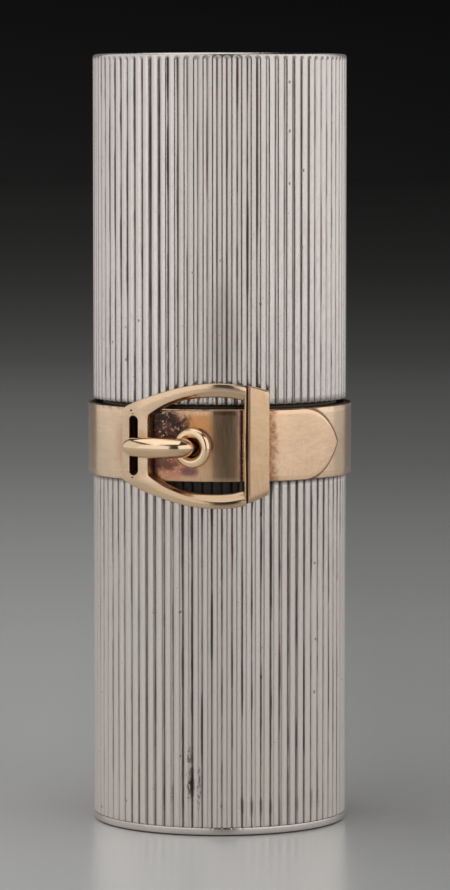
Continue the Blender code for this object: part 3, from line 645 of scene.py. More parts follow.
def gilt(name, colour_a=(0.92, 0.70, 0.36), colour_b=(0.86, 0.62, 0.30), rough=(0.12, 0.24), seat=None):
    """A turned and gilt surface, with fine rings left by the lathe."""
    t = Tree(name)
    rings = t.noise(t.stretch(0.05, 0.05, 9.0), 2.0, 4.0, 0.7)
    cloud = t.noise(t.p, 0.35, 4.0, 0.6)
    rub = t.noise(t.stretch(1.0, 1.0, 0.12), 1.3, 4.0, 0.7)
    colour = t.mix(t.smooth(cloud, 0.35, 0.7), colour_a, colour_b)
    colour = t.mix(t.math("MULTIPLY", t.smooth(rub, 0.56, 0.74), 0.30), colour, (0.78, 0.70, 0.60))
    roughness = t.lerp(t.smooth(rings, 0.3, 0.7), *rough)
    bump = t.bump(rings, 0.004, 0.5)
    metal = 1.0
    if seat:
        # painted shade in the gap where the cap seats, less metallic and rougher
        seat_shade = t.math("MULTIPLY", t.band(t.z, seat[0], seat[1], 0.05), 0.88)
        colour = t.mix(seat_shade, colour, (0.035, 0.024, 0.018))
        metal = t.math("SUBTRACT", 1.0, t.math("MULTIPLY", seat_shade, 0.7))
        roughness = t.math("ADD", roughness, t.math("MULTIPLY", seat_shade, 0.4))
    return t.finish(colour, roughness, metal, bump)


def nylon_material():
    t = Tree("natural_nylon")
    cloud = t.noise(t.p, 0.8, 4.0, 0.6)
    grain = t.noise(t.p, 8.0, 3.0, 0.6)
    colour = t.mix(cloud, (0.80, 0.78, 0.70), (0.72, 0.69, 0.60))
    t.shader.inputs["Subsurface Weight"].default_value = 0.15
    t.shader.inputs["Subsurface Radius"].default_value = (0.001, 0.0008, 0.0006)
    return t.finish(colour, t.lerp(grain, 0.42, 0.58), 0.0, t.bump(grain, 0.01, 0.4))


def wax_material():
    t = Tree("lipstick_wax")
    cloud = t.noise(t.p, 0.35, 4.0, 0.6)
    wipe = t.noise(t.stretch(4.0, 0.6, 0.6), 1.2, 4.0, 0.65)
    sweat = t.spots(t.p, 1.6, 0.05, 0.20, 0.25)
    colour = t.mix(t.smooth(cloud, 0.3, 0.7), (0.42, 0.020, 0.030), (0.50, 0.032, 0.040))
    rough = t.lerp(t.smooth(wipe, 0.35, 0.7), 0.30, 0.46)
    t.shader.inputs["Subsurface Weight"].default_value = 0.12
    t.shader.inputs["Subsurface Radius"].default_value = (0.0012, 0.0004, 0.0003)
    t.shader.inputs["Coat Weight"].default_value = 0.12
    t.shader.inputs["Coat Roughness"].default_value = 0.25
    bump = t.bump(wipe, 0.02, 0.35)
    return t.finish(colour, rough, 0.0, t.bump(sweat, 0.03, 0.4, bump))


SILVER_BASE = silver("silver_body", "base")
SILVER_CAP = silver("silver_cap", "cap")
GOLD_BAND = gold("gold_band", "band")
GOLD_STRAP = gold("gold_strap", "strap")
GOLD_FRAME = gold("gold_frame", "frame")
GOLD_KEEPER = gold("gold_keeper", "keeper")
GOLD_PIN = gold("gold_pin", "pin")
GOLD_RING = gold("gold_ring", "ring")
GILT = gilt("gilt_turned")
GILT_BODY = gilt("gilt_body_liner", seat=(33.0, 34.0))
GILT_NECK = gilt("gilt_neck", seat=(32.8, 33.55))
BRASS = gilt("brass_drawn", (0.74, 0.56, 0.30), (0.66, 0.49, 0.25), (0.28, 0.42))
NYLON = nylon_material()
WAX = wax_material()


# ================================================================ reeded silver
random.seed(41)
RIB_DEPTH = 0.180
RIB_POWER = 2.2
SHARES = (0.0, 0.025, 0.055, 0.09, 0.13, 0.18, 0.24, 0.31, 0.40)
SHARES = (*SHARES, 0.5, *(1 - s for s in reversed(SHARES[1:])))


def rib_depth(share):
    """How far below the crest the surface lies at this share of one pitch."""
    u = abs(share - 0.5) * 2
    return RIB_DEPTH * u**RIB_POWER


def rib_set(seed):
    """Each groove's small faults: (angle shift in degrees, width factor, depth factor)."""
    rng = random.Random(seed)
    return [
        (rng.gauss(0, 0.10), rng.uniform(0.75, 1.35), rng.uniform(0.86, 1.06))
        for _ in range(RIBS)
    ]


def rib_ring(z, phase, faults, fade, limit, wave):
    """One ring of points at height z. fade scales the grooves, limit caps the radius."""
    ring = []
    for i in range(RIBS):
        shift0, width0, deep0 = faults[i]
        shift1, width1, deep1 = faults[(i + 1) % RIBS]
        for s in SHARES:
            # groove widths change the share, and the crest stays put
            if s < 0.5:
                width, deep, n = width0, deep0, i
                local = 0.5 - (0.5 - s) * (1.0 if s >= 0.3 else 1.0 - (width - 1.0) * 0.10)
            else:
                width, deep, n = width1, deep1, (i + 1) % RIBS
                local = 0.5 + (s - 0.5) * (1.0 if s <= 0.7 else 1.0 - (width - 1.0) * 0.10)
            d = rib_depth(s) * deep * (1 + 0.04 * wave(n, z))
            shift = shift0 * (1 - s) + shift1 * s
            phi = phase + (i + local) * 360.0 / RIBS + shift
            if s == 0.0:
                phi = phase + i * 360.0 / RIBS + shift0
            r = min(CASE_R - d * fade, limit)
            ring.append(cyl(r, phi, z))
    return ring


def wave_for(seed):
    rng = random.Random(seed)
    table = [(rng.uniform(0, 6.28), rng.uniform(0.25, 0.7), rng.uniform(0, 6.28)) for _ in range(RIBS)]

    def wave(n, z):
        a, f, b = table[n]
        return math.sin(f * z + a) + 0.5 * math.sin(2.7 * f * z + b)

    return wave


def reeded(name, levels, phase, seed, inner, material, body, nodes, cap_levels):
    """A reeded piece. levels is (z, fade, radius limit) up its outside.

    inner is the bore radius, or 0 for a solid disc; cap_levels gives (bottom z, top z) of the bore.
    """
    faults, wave = rib_set(seed), wave_for(seed)
    n = RIBS * len(SHARES)
    # the last share of a pitch is the next one's first
    verts, rows = [], 0
    for z, fade, limit in levels:
        verts += rib_ring(z, phase, faults, fade, limit, wave)
        rows += 1
    if inner > 0:
        for r, z in ((inner + 0.06, cap_levels[1]), (inner, cap_levels[1] - 0.06), (inner, cap_levels[0] + 0.06), (inner + 0.06, cap_levels[0])):
            ring = []
            for i in range(RIBS):
                for s in SHARES:
                    ring.append(cyl(r, phase + (i + s) * 360.0 / RIBS, z))
            verts += ring
            rows += 1
        faces = ring_faces(rows, n, closed_rows=True)
    else:
        for sign, z in ((1, cap_levels[1]), (-1, cap_levels[0])):
            pass
        top_rings = [(8.0, cap_levels[1]), (4.0, cap_levels[1])]
        bottom_rings = [(4.0, cap_levels[0]), (8.0, cap_levels[0])]
        order = []
        for r, z in bottom_rings:
            order.append([cyl(r, phase + (i + s) * 360.0 / RIBS, z) for i in range(RIBS) for s in SHARES])
        body_rows = [verts[k * n : (k + 1) * n] for k in range(rows)]
        order += body_rows
        for r, z in top_rings:
            order.append([cyl(r, phase + (i + s) * 360.0 / RIBS, z) for i in range(RIBS) for s in SHARES])
        verts = [v for ring in order for v in ring]
        rows = len(order)
        faces = ring_faces(rows, n)
        low, high = len(verts), len(verts) + 1
        verts += [(0, 0, cap_levels[0]), (0, 0, cap_levels[1])]
        for j in range(n):
            k = (j + 1) % n
            faces.append((low, k, j))
            faces.append((high, (rows - 1) * n + j, (rows - 1) * n + k))
    return build(name, verts, faces, material, body, nodes, sharp=62)


def even(z0, z1, step):
    count = max(2, round((z1 - z0) / step))
    return [z0 + (z1 - z0) * i / count for i in range(count + 1)]


FREE = 99.0
reeded(
    "body_tube",
    [
        (BASE_Z0 - 0.02, 1.0, 9.955),
        (BASE_Z0 + 0.01, 1.0, 9.985),
        (BASE_Z0 + 0.05, 1.0, FREE),
        *[(z, 1.0, FREE) for z in even(BASE_Z0 + 0.4, BASE_Z1 - 0.1, 1.3)],
        (BASE_Z1, 1.0, 9.95),
    ],
    BASE_PHASE,
    7,
    BORE_R,
    SILVER_BASE,
    "base",
    ["base_shell"],
    (BASE_Z0 - 0.02, BASE_Z1),
)
reeded(
    "body_foot_disc",
    [
        (0.0, 0.0, 9.72),
        (0.025, 0.0, 9.83),
        (0.08, 0.0, 9.91),
        (0.14, 0.0, 9.95),
        (0.20, 0.0, 9.97),
        (0.32, 0.03, 9.98),
        (0.44, 0.08, 9.985),
        (0.56, 0.17, 9.985),
        (BASE_Z0 - 0.035, 0.26, 9.97),
    ],
    BASE_PHASE,
    7,
    0,
    SILVER_BASE,
    "base",
    ["base_bottom_disc"],
    (0.0, BASE_Z0 - 0.035),
)
reeded(
    "cap_tube",
    [
        (CAP_Z0, 1.0, 9.90),
        (CAP_Z0 + 0.03, 1.0, 9.95),
        (CAP_Z0 + 0.09, 1.0, 9.985),
        (CAP_Z0 + 0.16, 1.0, FREE),
        *[(z, 1.0, FREE) for z in even(CAP_Z0 + 0.5, TOP_Z0 - 0.5, 1.3)],
        (TOP_Z0 + 0.001, 1.0, FREE),
    ],
    CAP_PHASE,
    19,
    BORE_R,
    SILVER_CAP,
    "cap",
    ["cap_shell"],
    (CAP_Z0, TOP_Z0 + 0.001),
)
reeded(
    "cap_end_disc",
    [
        (TOP_Z0, 1.0, FREE),
        (60.02, 0.92, FREE),
        (60.09, 0.74, FREE),
        (60.16, 0.50, FREE),
        (60.22, 0.26, 9.99),
        (60.28, 0.08, 9.985),
        (60.34, 0.0, 9.970),
        (60.42, 0.0, 9.925),
        (60.47, 0.0, 9.86),
        (60.49, 0.0, 9.80),
        (TOP_Z1, 0.0, 9.70),
    ],
    CAP_PHASE,
    19,
    0,
    SILVER_CAP,
    "cap",
    ["cap_top_disc"],
    (TOP_Z0, TOP_Z1),
)


# ================================================================ belt band
def band_piece():
    profile = fillet(
        [
            (10.04, (BAND_Z0 + BAND_Z1) / 2),
            (10.04, BAND_Z1),
            (10.42, BAND_Z1),
            (10.42, BAND_Z0),
            (10.04, BAND_Z0),
            (10.04, (BAND_Z0 + BAND_Z1) / 2 - 0.01),
        ],
        [0, 0.04, 0.11, 0.13, 0.04, 0],
        5,
    )
    # a few rows down the face, so that it can be a little uneven
    rows = []
    for (r0, z0), (r1, z1) in zip(profile, profile[1:]):
        rows.append((r0, z0))
        if r0 > 10.41 and r1 > 10.41 and z0 - z1 > 1.0:
            for k in range(1, 12):
                rows.append((10.42 + (0.006 * math.sin(math.pi * k / 12)), z0 + (z1 - z0) * k / 12))
    rows.append(profile[-1])
    n = 360
    verts = []
    for r, z in rows:
        for j in range(n):
            phi = 360.0 * j / n
            a = RAD(phi)
            dent = 0.0
            if r > 10.3:
                dent = -0.008 + 0.004 * math.sin(3 * a + 0.7) + 0.003 * math.sin(7 * a + z * 0.9)
            dz = 0.012 * math.sin(5 * a + 1.1) + 0.008 * math.sin(9 * a) if r > 10.3 else 0.0
            dz *= 1.0 if z < BAND_Z1 - 0.5 and z < BAND_Z0 + 0.5 or z > BAND_Z1 - 0.5 else 0.3
            zz = min(BAND_Z1, max(BAND_Z0, z + dz))
            verts.append(cyl(r + dent, phi, zz))
    return build(
        "belt_band_detail",
        verts,
        ring_faces(len(rows), n, closed_rows=True),
        GOLD_BAND,
        "base",
        ["belt_band"],
    )


band_piece()


# ================================================================ plates bent round the case
def strap_half(phi):
    """Half the strap's width at this angle."""
    half = (STRAP_Z1 - STRAP_Z0) / 2
    if phi <= 38.0:
        return half
    t = min(1.0, (phi - 38.0) / 21.0)
    return half * (1 - t**2.0) ** 0.85


def strap_piece():
    """The strap's free end, a loop of insets round a central line."""
    r0, r1 = 10.46, 10.72
    middle = (STRAP_Z0 + STRAP_Z1) / 2
    side = [(phi, strap_half(phi)) for phi in np.arange(-38.0, 38.0, 1.0)]
    side += [(38 + 21.0 * (1 - (1 - k / 40) ** 1.6), 0) for k in range(41)]
    side = [(p, strap_half(p)) for p, _ in side]
    upper = [(p, middle + h) for p, h in side]
    lower = [(p, middle - h) for p, h in side if h > 1e-6]
    left = [(-38.0, middle + strap_half(-38) * k / 6) for k in range(-5, 6)]
    loop = upper + lower[::-1] + left
    s = 10.6 * math.pi / 180
    pts = np.array([(p * s, z) for p, z in loop])
    # inward normals of the loop
    nxt, prv = np.roll(pts, -1, 0), np.roll(pts, 1, 0)
    tan = nxt - prv
    tan /= np.linalg.norm(tan, axis=1)[:, None]
    normal = np.stack([tan[:, 1], -tan[:, 0]], 1)
    centre_line = np.stack([np.clip(pts[:, 0], -37.0 * s, 56.5 * s), np.full(len(pts), middle)], 1)
    flip = np.sign(((centre_line - pts) * normal).sum(1))
    flip[flip == 0] = 1
    normal *= flip[:, None]
    b = 0.07
    levels = [(r0, 0.0), (r1 - b, 0.0)]
    for k in range(1, 6):
        a = math.pi / 2 * k / 5
        levels.append((r1 - b + b * math.sin(a), b * (1 - math.cos(a))))
    verts, rows = [], 0
    inner = pts + normal * b
    loops = [(r, pts + normal * inset) for r, inset in levels]
    for k in range(1, 9):
        loops.append((r1, inner + (centre_line - inner) * (k / 8)))
    back = [(r0, pts + (centre_line - pts) * (k / 6)) for k in range(6, 0, -1)]
    for r, ring in back + loops:
        for x, z in ring:
            verts.append(cyl(r, x / s, z))
        rows += 1
    # the two central seams close on themselves when doubled points are merged
    return verts, rows, len(pts)


def strap_build():
    verts, rows, n = strap_piece()
    obj = build(
        "belt_strap_detail",
        verts,
        ring_faces(rows, n),
        GOLD_STRAP,
        "base",
        ["belt_strap_end"],
        sharp=50,
    )
    return obj


strap_build()

# ---------------------------------------------------------------- buckle frame
FRAME_R0, FRAME_R1 = 10.80, 11.58
S_FRAME = 11.4 * math.pi / 180  # millimetres along the surface for one degree


def frame_sections():
    """Matching (outer, crease, inner) points, from the left middle over the top to the right middle."""
    corner = [(-41.0, 2.25)]
    for k in range(1, 8):
        a = math.pi / 2 * k / 8
        corner.append((-41.0 + 1.35 * (1 - math.cos(a)), 2.25 + 0.60 * math.sin(a)))
    arm_outer = spline(
        [(-39.65, 2.85), (-37.5, 3.07), (-32.6, 3.45), (-27.4, 3.80), (-22.6, 4.10), (-17.9, 4.36),
         (-13.4, 4.56), (-8.9, 4.71), (-4.5, 4.80), (-0.2, 4.83), (4.2, 4.78), (7.7, 4.67), (9.9, 4.59)]
    )
    arm_crease = spline(
        [(-28.75, 2.00), (-28.3, 2.36), (-25.0, 2.82), (-21.2, 3.22), (-15.6, 3.66), (-11.1, 3.94),
         (-6.5, 4.15), (-2.3, 4.26), (3.0, 4.26), (9.55, 4.06)]
    )
    arm_inner = spline(
        [(-28.35, 1.80), (-27.9, 2.24), (-25.9, 2.56), (-23.4, 2.80), (-20.9, 3.04), (-18.0, 3.25),
         (-14.3, 3.48), (-9.2, 3.64), (-2.4, 3.73), (4.3, 3.68), (9.25, 3.48)]
    )
    left = (
        resample([(-41.0, 0.0), *corner, (-39.65, 2.85)], 26),
        resample([(-28.75, 0.0), (-28.75, 2.00)], 26),
        resample([(-28.35, 0.0), (-28.35, 1.80)], 26),
    )
    arm = (resample(arm_outer, 90), resample(arm_crease, 90), resample(arm_inner, 90))
    right = (
        resample([(9.9, 4.59), (10.35, 4.55), (10.45, 4.40), (10.45, 0.0)], 30),
        resample([(9.55, 4.06), (9.62, 3.9), (9.62, 0.0)], 30),
        resample([(9.25, 3.48), (9.25, 0.0)], 30),
    )
    parts = [np.concatenate([left[k], arm[k][1:], right[k][1:]]) for k in range(3)]
    return parts


def frame_piece():
    outer, crease, inner = frame_sections()
    below = [np.stack([line[::-1][1:-1, 0], -line[::-1][1:-1, 1]], 1) for line in (outer, crease, inner)]
    loops = [np.concatenate([a, b]) for a, b in zip((outer, crease, inner), below)]
    loops = [np.stack([l[:, 0] * S_FRAME, BUCKLE_Z + l[:, 1]], 1) for l in loops]
    o, c, i = loops
    d = c - o
    d /= np.linalg.norm(d, axis=1)[:, None]
    e = i - c
    e /= np.maximum(1e-9, np.linalg.norm(e, axis=1)[:, None])
    rings = []
    b = 0.15
    rings.append((np.full(len(o), FRAME_R0), o))
    rings.append((np.full(len(o), FRAME_R1 - 0.35), o))
    for k in range(6):
        a = math.pi / 2 * k / 5
        rings.append((np.full(len(o), FRAME_R1 - b + b * math.sin(a)), o + d * (b * (1 - math.cos(a)))))
    start = o + d * b
    crown = 0.02
    for k in range(1, 10):
        t = k / 10
        rings.append((np.full(len(o), FRAME_R1 + crown * math.sin(math.pi * t)), start + (c - d * 0.03 - start) * t))
    # crease, softened over three close rings
    drop = 0.38
    rings.append((np.full(len(o), FRAME_R1), c - d * 0.03))
    rings.append((np.full(len(o), FRAME_R1 - 0.012), c))
    rings.append((np.full(len(o), FRAME_R1 - 0.035), c + e * 0.03))
    for t in (0.3, 0.55, 0.8):
        rings.append((np.full(len(o), FRAME_R1 - 0.035 - (drop - 0.035) * t), c + (i - c) * t))
    rings.append((np.full(len(o), FRAME_R1 - drop), i - e * 0.03))
    rings.append((np.full(len(o), FRAME_R1 - drop - 0.06), i))
    rings.append((np.full(len(o), FRAME_R0), i))
    for t in (0.8, 0.6, 0.4, 0.2):
        rings.append((np.full(len(o), FRAME_R0), o + (i - o) * t))
    n = len(o)
    verts = []
    for radii, ring in rings:
        for r, (x, z) in zip(radii, ring):
            verts.append(cyl(r, x / S_FRAME, z))
    obj = build(
        "buckle_frame_detail",
        verts,
        ring_faces(len(rings), n, closed_rows=True),
        GOLD_FRAME,
        "base",
        ["buckle_frame"],
        sharp=50,
    )
    return obj


def slot_cutter():
    """A rounded slot with a small chamfer at its mouth."""
    phi0, phi1, z0, z1 = -37.05, -33.0, 28.05, 32.60
    half = (phi1 - phi0) / 2 * S_FRAME
    centre = (phi0 + phi1) / 2
    mid, reach = (z0 + z1) / 2, (z1 - z0) / 2
    loop = []
    for k in range(17):
        a = math.pi * k / 16
        loop.append((math.cos(a), math.sin(a), 1))
    for k in range(17):
        a = math.pi + math.pi * k / 16
        loop.append((math.cos(a), math.sin(a), -1))
    verts, n = [], len(loop)
    levels = [(10.6, 0.0), (11.0, 0.0), (11.50, 0.0), (11.575, 0.03), (11.68, 0.10)]
    for r, grow in levels:
        for x, y, side in loop:
            sx = x * (half + grow)
            sz = mid + side * (reach - half) + y * (half + grow)
            verts.append(tuple(c * MM for c in cyl(r, centre + sx / S_FRAME, sz)))
    faces = ring_faces(len(levels), n)
    faces.append(tuple(range(n))[::-1])
    faces.append(tuple(range((len(levels) - 1) * n, len(levels) * n)))
    mesh = bpy.data.meshes.new("slot_cutter")
    mesh.from_pydata(verts, [], faces)
    bm = bmesh.new()
    bm.from_mesh(mesh)
    bmesh.ops.triangulate(bm, faces=[f for f in bm.faces if len(f.verts) > 4])
    bmesh.ops.recalc_face_normals(bm, faces=bm.faces)
    bm.to_mesh(mesh)
    bm.free()
    obj = bpy.data.objects.new("slot_cutter", mesh)
    bpy.context.scene.collection.objects.link(obj)
    return obj


def cut_through(obj, cutter, sharp):
    """Cuts obj with cutter and keeps the result as obj's own mesh."""
    boolean = obj.modifiers.new("cut", "BOOLEAN")
    boolean.operation = "DIFFERENCE"
    boolean.solver = "EXACT"
    boolean.object = cutter
    bpy.context.view_layer.update()
    graph = bpy.context.evaluated_depsgraph_get()
    mesh = bpy.data.meshes.new_from_object(obj.evaluated_get(graph))
    obj.modifiers.remove(boolean)
    old = obj.data
    name = old.name
    obj.data = mesh
    bpy.data.meshes.remove(old)
    mesh.name = name
    bpy.data.objects.remove(cutter)
    mesh.shade_smooth()
    mesh.set_sharp_from_angle(angle=RAD(sharp))
    return obj


cut_through(frame_piece(), slot_cutter(), 38)


# ---------------------------------------------------------------- keeper
def keeper_piece():
    """The upright bar: flat face, chamfered ends, rounded right-hand corners."""
    phi_c = (10.62 + 19.15) / 2
    w = 11.8 * RAD((19.15 - 10.62) / 2)
    h_left, h_right = 4.46, 4.10
    corner = []
    half = [(w, 0.0), (w, h_right - 0.30)]
    for k in range(1, 9):
        a = math.pi / 2 * k / 8
        half.append((w - 0.28 * (1 - math.cos(a)), h_right - 0.30 + 0.27 * math.sin(a)))
    for k in range(1, 11):
        t = k / 10
        x = (w - 0.28) + (-w + 0.04 - (w - 0.28)) * t
        half.append((x, (h_right - 0.03) + (h_left - h_right + 0.03) * (t**0.85)))
    half.append((-w, h_left - 0.05))
    half.append((-w, 0.0))
    pts = resample(half, 70)
    full = np.concatenate([pts, np.stack([pts[::-1][1:-1, 0], -pts[::-1][1:-1, 1]], 1)])
    levels = [
        (10.80, 0.0, 0.0),
        (11.50, 0.0, 0.0),
        (11.585, 0.004, 0.02),
        (11.65, 0.02, 0.09),
        (11.735, 0.035, 0.20),
        (11.80, 0.055, 0.30),
        (11.835, 0.085, 0.37),
        (11.85, 0.13, 0.43),
    ]
    rings = []
    for r, dx, dz in levels:
        # the chamfer is deep at the bottom and only broken at the top
        rings.append([(x * (w - dx) / w, z * (h_left - dz * (0.30 if z > 0 else 1.0)) / h_left, r) for x, z in full])
    last = rings[-1]
    for t in (0.8, 0.55, 0.3):
        rings.append([(x * t, z, r) if abs(z) < 1e-9 else (x * t, z * (1 - (1 - t) * 0.25), r) for x, z, r in last])
    n = len(full)
    a = RAD(phi_c)
    right = Vector((math.cos(a), math.sin(a), 0))
    out = Vector((math.sin(a), -math.cos(a), 0))
    verts = []
    for ring in rings:
        for x, z, r in ring:
            v = out * r + right * x
            across = (x + w) / (2 * w)
            # a little longer above than below, and its lower end runs up to the right
            z *= (1.030 + 0.015 * across) if z > 0 else (1.013 - 0.050 * across)
            verts.append((v.x, v.y, 30.47 + z))
    faces = ring_faces(len(rings), n)
    faces.append(tuple(range(n)))
    faces.append(tuple(range((len(rings) - 1) * n, len(rings) * n)))
    return build(
        "buckle_keeper_detail", verts, faces, GOLD_KEEPER, "base", ["buckle_keeper"], sharp=28
    )


keeper_piece()


# ---------------------------------------------------------------- eyelet
def eyelet_piece():
    a = RAD(EYELET_PHI)
    right = Vector((math.cos(a), math.sin(a), 0))
    out = Vector((math.sin(a), -math.cos(a), 0))
    centre = out * (10.72 + 0.04 + 0.435 * 0.78)
    # the ring leans: its left side, under the tongue, is the lower one
    tilt = RAD(12.0)
    lean = right * math.cos(tilt) + out * math.sin(tilt)
    rise = out * math.cos(tilt) - right * math.sin(tilt)
    n, m = 96, 28
    verts = []
    for i in range(n):
        t = 2 * math.pi * i / n
        d = lean * math.cos(t) + Vector((0, 0, 1)) * math.sin(t)
        middle = lean * (1.08 * math.cos(t)) + Vector((0, 0, 1)) * (1.135 * math.sin(t))
        for j in range(m):
            u = 2 * math.pi * j / m
            v = centre + middle + d * (0.435 * math.cos(u)) + rise * (0.435 * 0.78 * math.sin(u))
            verts.append((v.x, v.y, v.z + PIN_Z - 0.03))
    return build("eyelet_detail", verts, ring_faces(n, m, closed_rows=True), GOLD_RING, "base", ["strap_eyelet"])


eyelet_piece()


# ---------------------------------------------------------------- tongue
def tongue_piece():
    line = [
        (-36.3, 12.06, 0.29), (-36.0, 12.09, 0.43), (-35.2, 12.16, 0.56), (-34.0, 12.26, 0.64),
        (-32.2, 12.34, 0.70), (-28.7, 12.41, 0.75), (-24.5, 12.42, 0.765), (-20.5, 12.35, 0.76),
        (-17.2, 12.205, 0.735), (-14.7, 12.02, 0.70), (-12.8, 11.66, 0.65), (-11.8, 11.22, 0.60),
        (-11.5, 10.85, 0.56), (-11.5, 10.53, 0.53),
    ]
    dense = spline(line, 7)
    pts = np.array([cyl(r, a, PIN_Z) for a, r, _ in dense])
    radius = dense[:, 2]
    tan = np.gradient(pts, axis=0)
    tan /= np.linalg.norm(tan, axis=1)[:, None]
    up = np.array([0.0, 0.0, 1.0])
    n = 40
    verts = []
    # a rounded nose before the first ring
    rings = []
    first, t0 = pts[0], tan[0]
    for k in range(1, 5):
        a = math.pi / 2 * k / 5
        rings.append((first - t0 * (0.10 * math.cos(a)), t0, radius[0] * math.sin(a)))
    rings += [(p, t, r) for p, t, r in zip(pts, tan, radius)]
    for p, t, r in rings:
        side = np.cross(t, up)
        side /= np.linalg.norm(side)
        for j in range(n):
            u = 2 * math.pi * j / n
            # slightly flattened above and below, with a soft ridge along the front
            c, s = math.cos(u), math.sin(u)
            power = 1.68
            k = (abs(c) ** power + abs(s) ** power) ** (-1 / power)
            verts.append(tuple(p + side * (r * c * k) + up * (r * s * k * 1.06)))
    faces = ring_faces(len(rings), n)
    faces.append(tuple(range(n)))
    faces.append(tuple(range((len(rings) - 1) * n, len(rings) * n)))
    return build("tongue_detail", verts, faces, GOLD_PIN, "base", ["buckle_tongue"], sharp=60)


tongue_piece()

# ================================================================ neck, liners, cup and bullet
lathe(
    "neck_detail",
    fillet(
        [(8.2, 20.0), (8.2, 41.5), (6.6, 41.5), (6.6, 42.0), (8.5, 42.0), (8.5, 34.6), (8.46, 34.4), (8.46, 34.0), (8.5, 33.8), (8.5, 2.95), (8.2, 2.95), (8.2, 19.99)],
        [0, 0.1, 0.12, 0.16, 0.30, 0.02, 0.02, 0.02, 0.02, 0.04, 0.02, 0],
        6,
    ),
    GILT_NECK,
    "collar",
    ["neck_sleeve"],
    sharp=60,
)
lathe(
    "body_liner_detail",
    fillet(
        [(8.62, 20.0), (8.62, 33.40), (9.22, 33.40), (9.22, 3.92), (8.62, 3.92), (8.62, 19.99)],
        [0, 0.08, 0.16, 0.03, 0.03, 0],
        5,
    ),
    GILT_BODY,
    "base",
    ["base_liner"],
    sharp=60,
)
lathe(
    "cap_liner_detail",
    fillet(
        [
            (0, 59.60), (9.22, 59.60), (9.22, 33.45), (8.62, 33.45), (8.62, 37.0), (9.0, 37.0),
            (9.0, 38.2), (8.62, 38.2), (8.62, 59.2), (0, 59.2),
        ],
        [0, 0.35, 0.10, 0.16, 0.03, 0.02, 0.02, 0.03, 0.4, 0],
        5,
    ),
    GILT,
    "cap",
    ["cap_liner"],
    sharp=60,
)
lathe(
    "cup_detail",
    fillet(
        [
            (0, 4.6), (6.12, 4.6), (6.12, 16.0), (6.72, 16.0), (6.72, 14.6), (6.66, 14.5),
            (6.66, 14.3), (6.72, 14.2), (6.72, 4.0), (0, 4.0),
        ],
        [0, 0.1, 0.10, 0.16, 0.02, 0.02, 0.02, 0.02, 0.25, 0],
        5,
    ),
    GILT,
    "carrier",
    ["carrier_cup"],
    sharp=60,
)


def bullet_piece():
    """The stick, its end domed, cut at a slant, and the cut's edge softened."""
    low, tip, big = 4.65, 34.8, 6.05
    slope = math.tan(RAD(48.0))

    def top(x, y):
        r = math.hypot(x, y)
        over = max(0.0, r - (big - 1.6))
        dome = tip - 1.6 + math.sqrt(max(0.0, 1.6**2 - over**2))
        plane = tip + 0.01 + (y - 4.35) * slope
        k = 0.35
        h = max(0.0, min(1.0, 0.5 + 0.5 * (plane - dome) / k))
        return plane + (dome - plane) * h - k * h * (1 - h)

    n = 128
    shares = [0.999, 0.99, 0.97, 0.94, 0.90, 0.86, 0.82, 0.78, 0.74, 0.70, 0.64, 0.56, 0.46, 0.34, 0.2, 0.08]
    rows = []
    for z in (low, low + 0.3):
        rows.append([cyl(big - (0.15 if z == low else 0.0), 360 * j / n, z) for j in range(n)])
    for t in (0.2, 0.4, 0.6, 0.8, 0.93, 0.985):
        ring = []
        for j in range(n):
            x, y, _ = cyl(big, 360 * j / n, 0)
            ring.append((x, y, low + (top(x * 0.9999, y * 0.9999) - low) * t))
        rows.append(ring)
    for s in shares:
        ring = []
        for j in range(n):
            x, y, _ = cyl(big * s, 360 * j / n, 0)
            ring.append((x, y, top(x, y)))
        rows.append(ring)
    verts = [v for ring in rows for v in ring]
    faces = ring_faces(len(rows), n)
    a, b = len(verts), len(verts) + 1
    verts += [(0, 0, low), (0, 0, top(0, 0))]
    for j in range(n):
        k = (j + 1) % n
        faces.append((a, k, j))
        faces.append((b, (len(rows) - 1) * n + j, (len(rows) - 1) * n + k))
    return build("bullet_detail", verts, faces, WAX, "carrier", ["lipstick_bullet"])


bullet_piece()

# Carried-over CAD nodes of the mechanism: their shapes are right, and they only need a finish.
for node, material in (
    ("cap_grip_ring", BRASS),
    ("mechanism_foot", BRASS),
    ("guide_tube", BRASS),
    ("friction_washer", NYLON),
    ("sleeve_retaining_ring", BRASS),
    ("spiral_tube", BRASS),
    ("carrier_lug_right", BRASS),
    ("carrier_lug_left", BRASS),
):
    target = bpy.data.objects[node]
    if not target.material_slots:
        target.data.materials.append(material)
    for s in target.material_slots:
        s.material = material


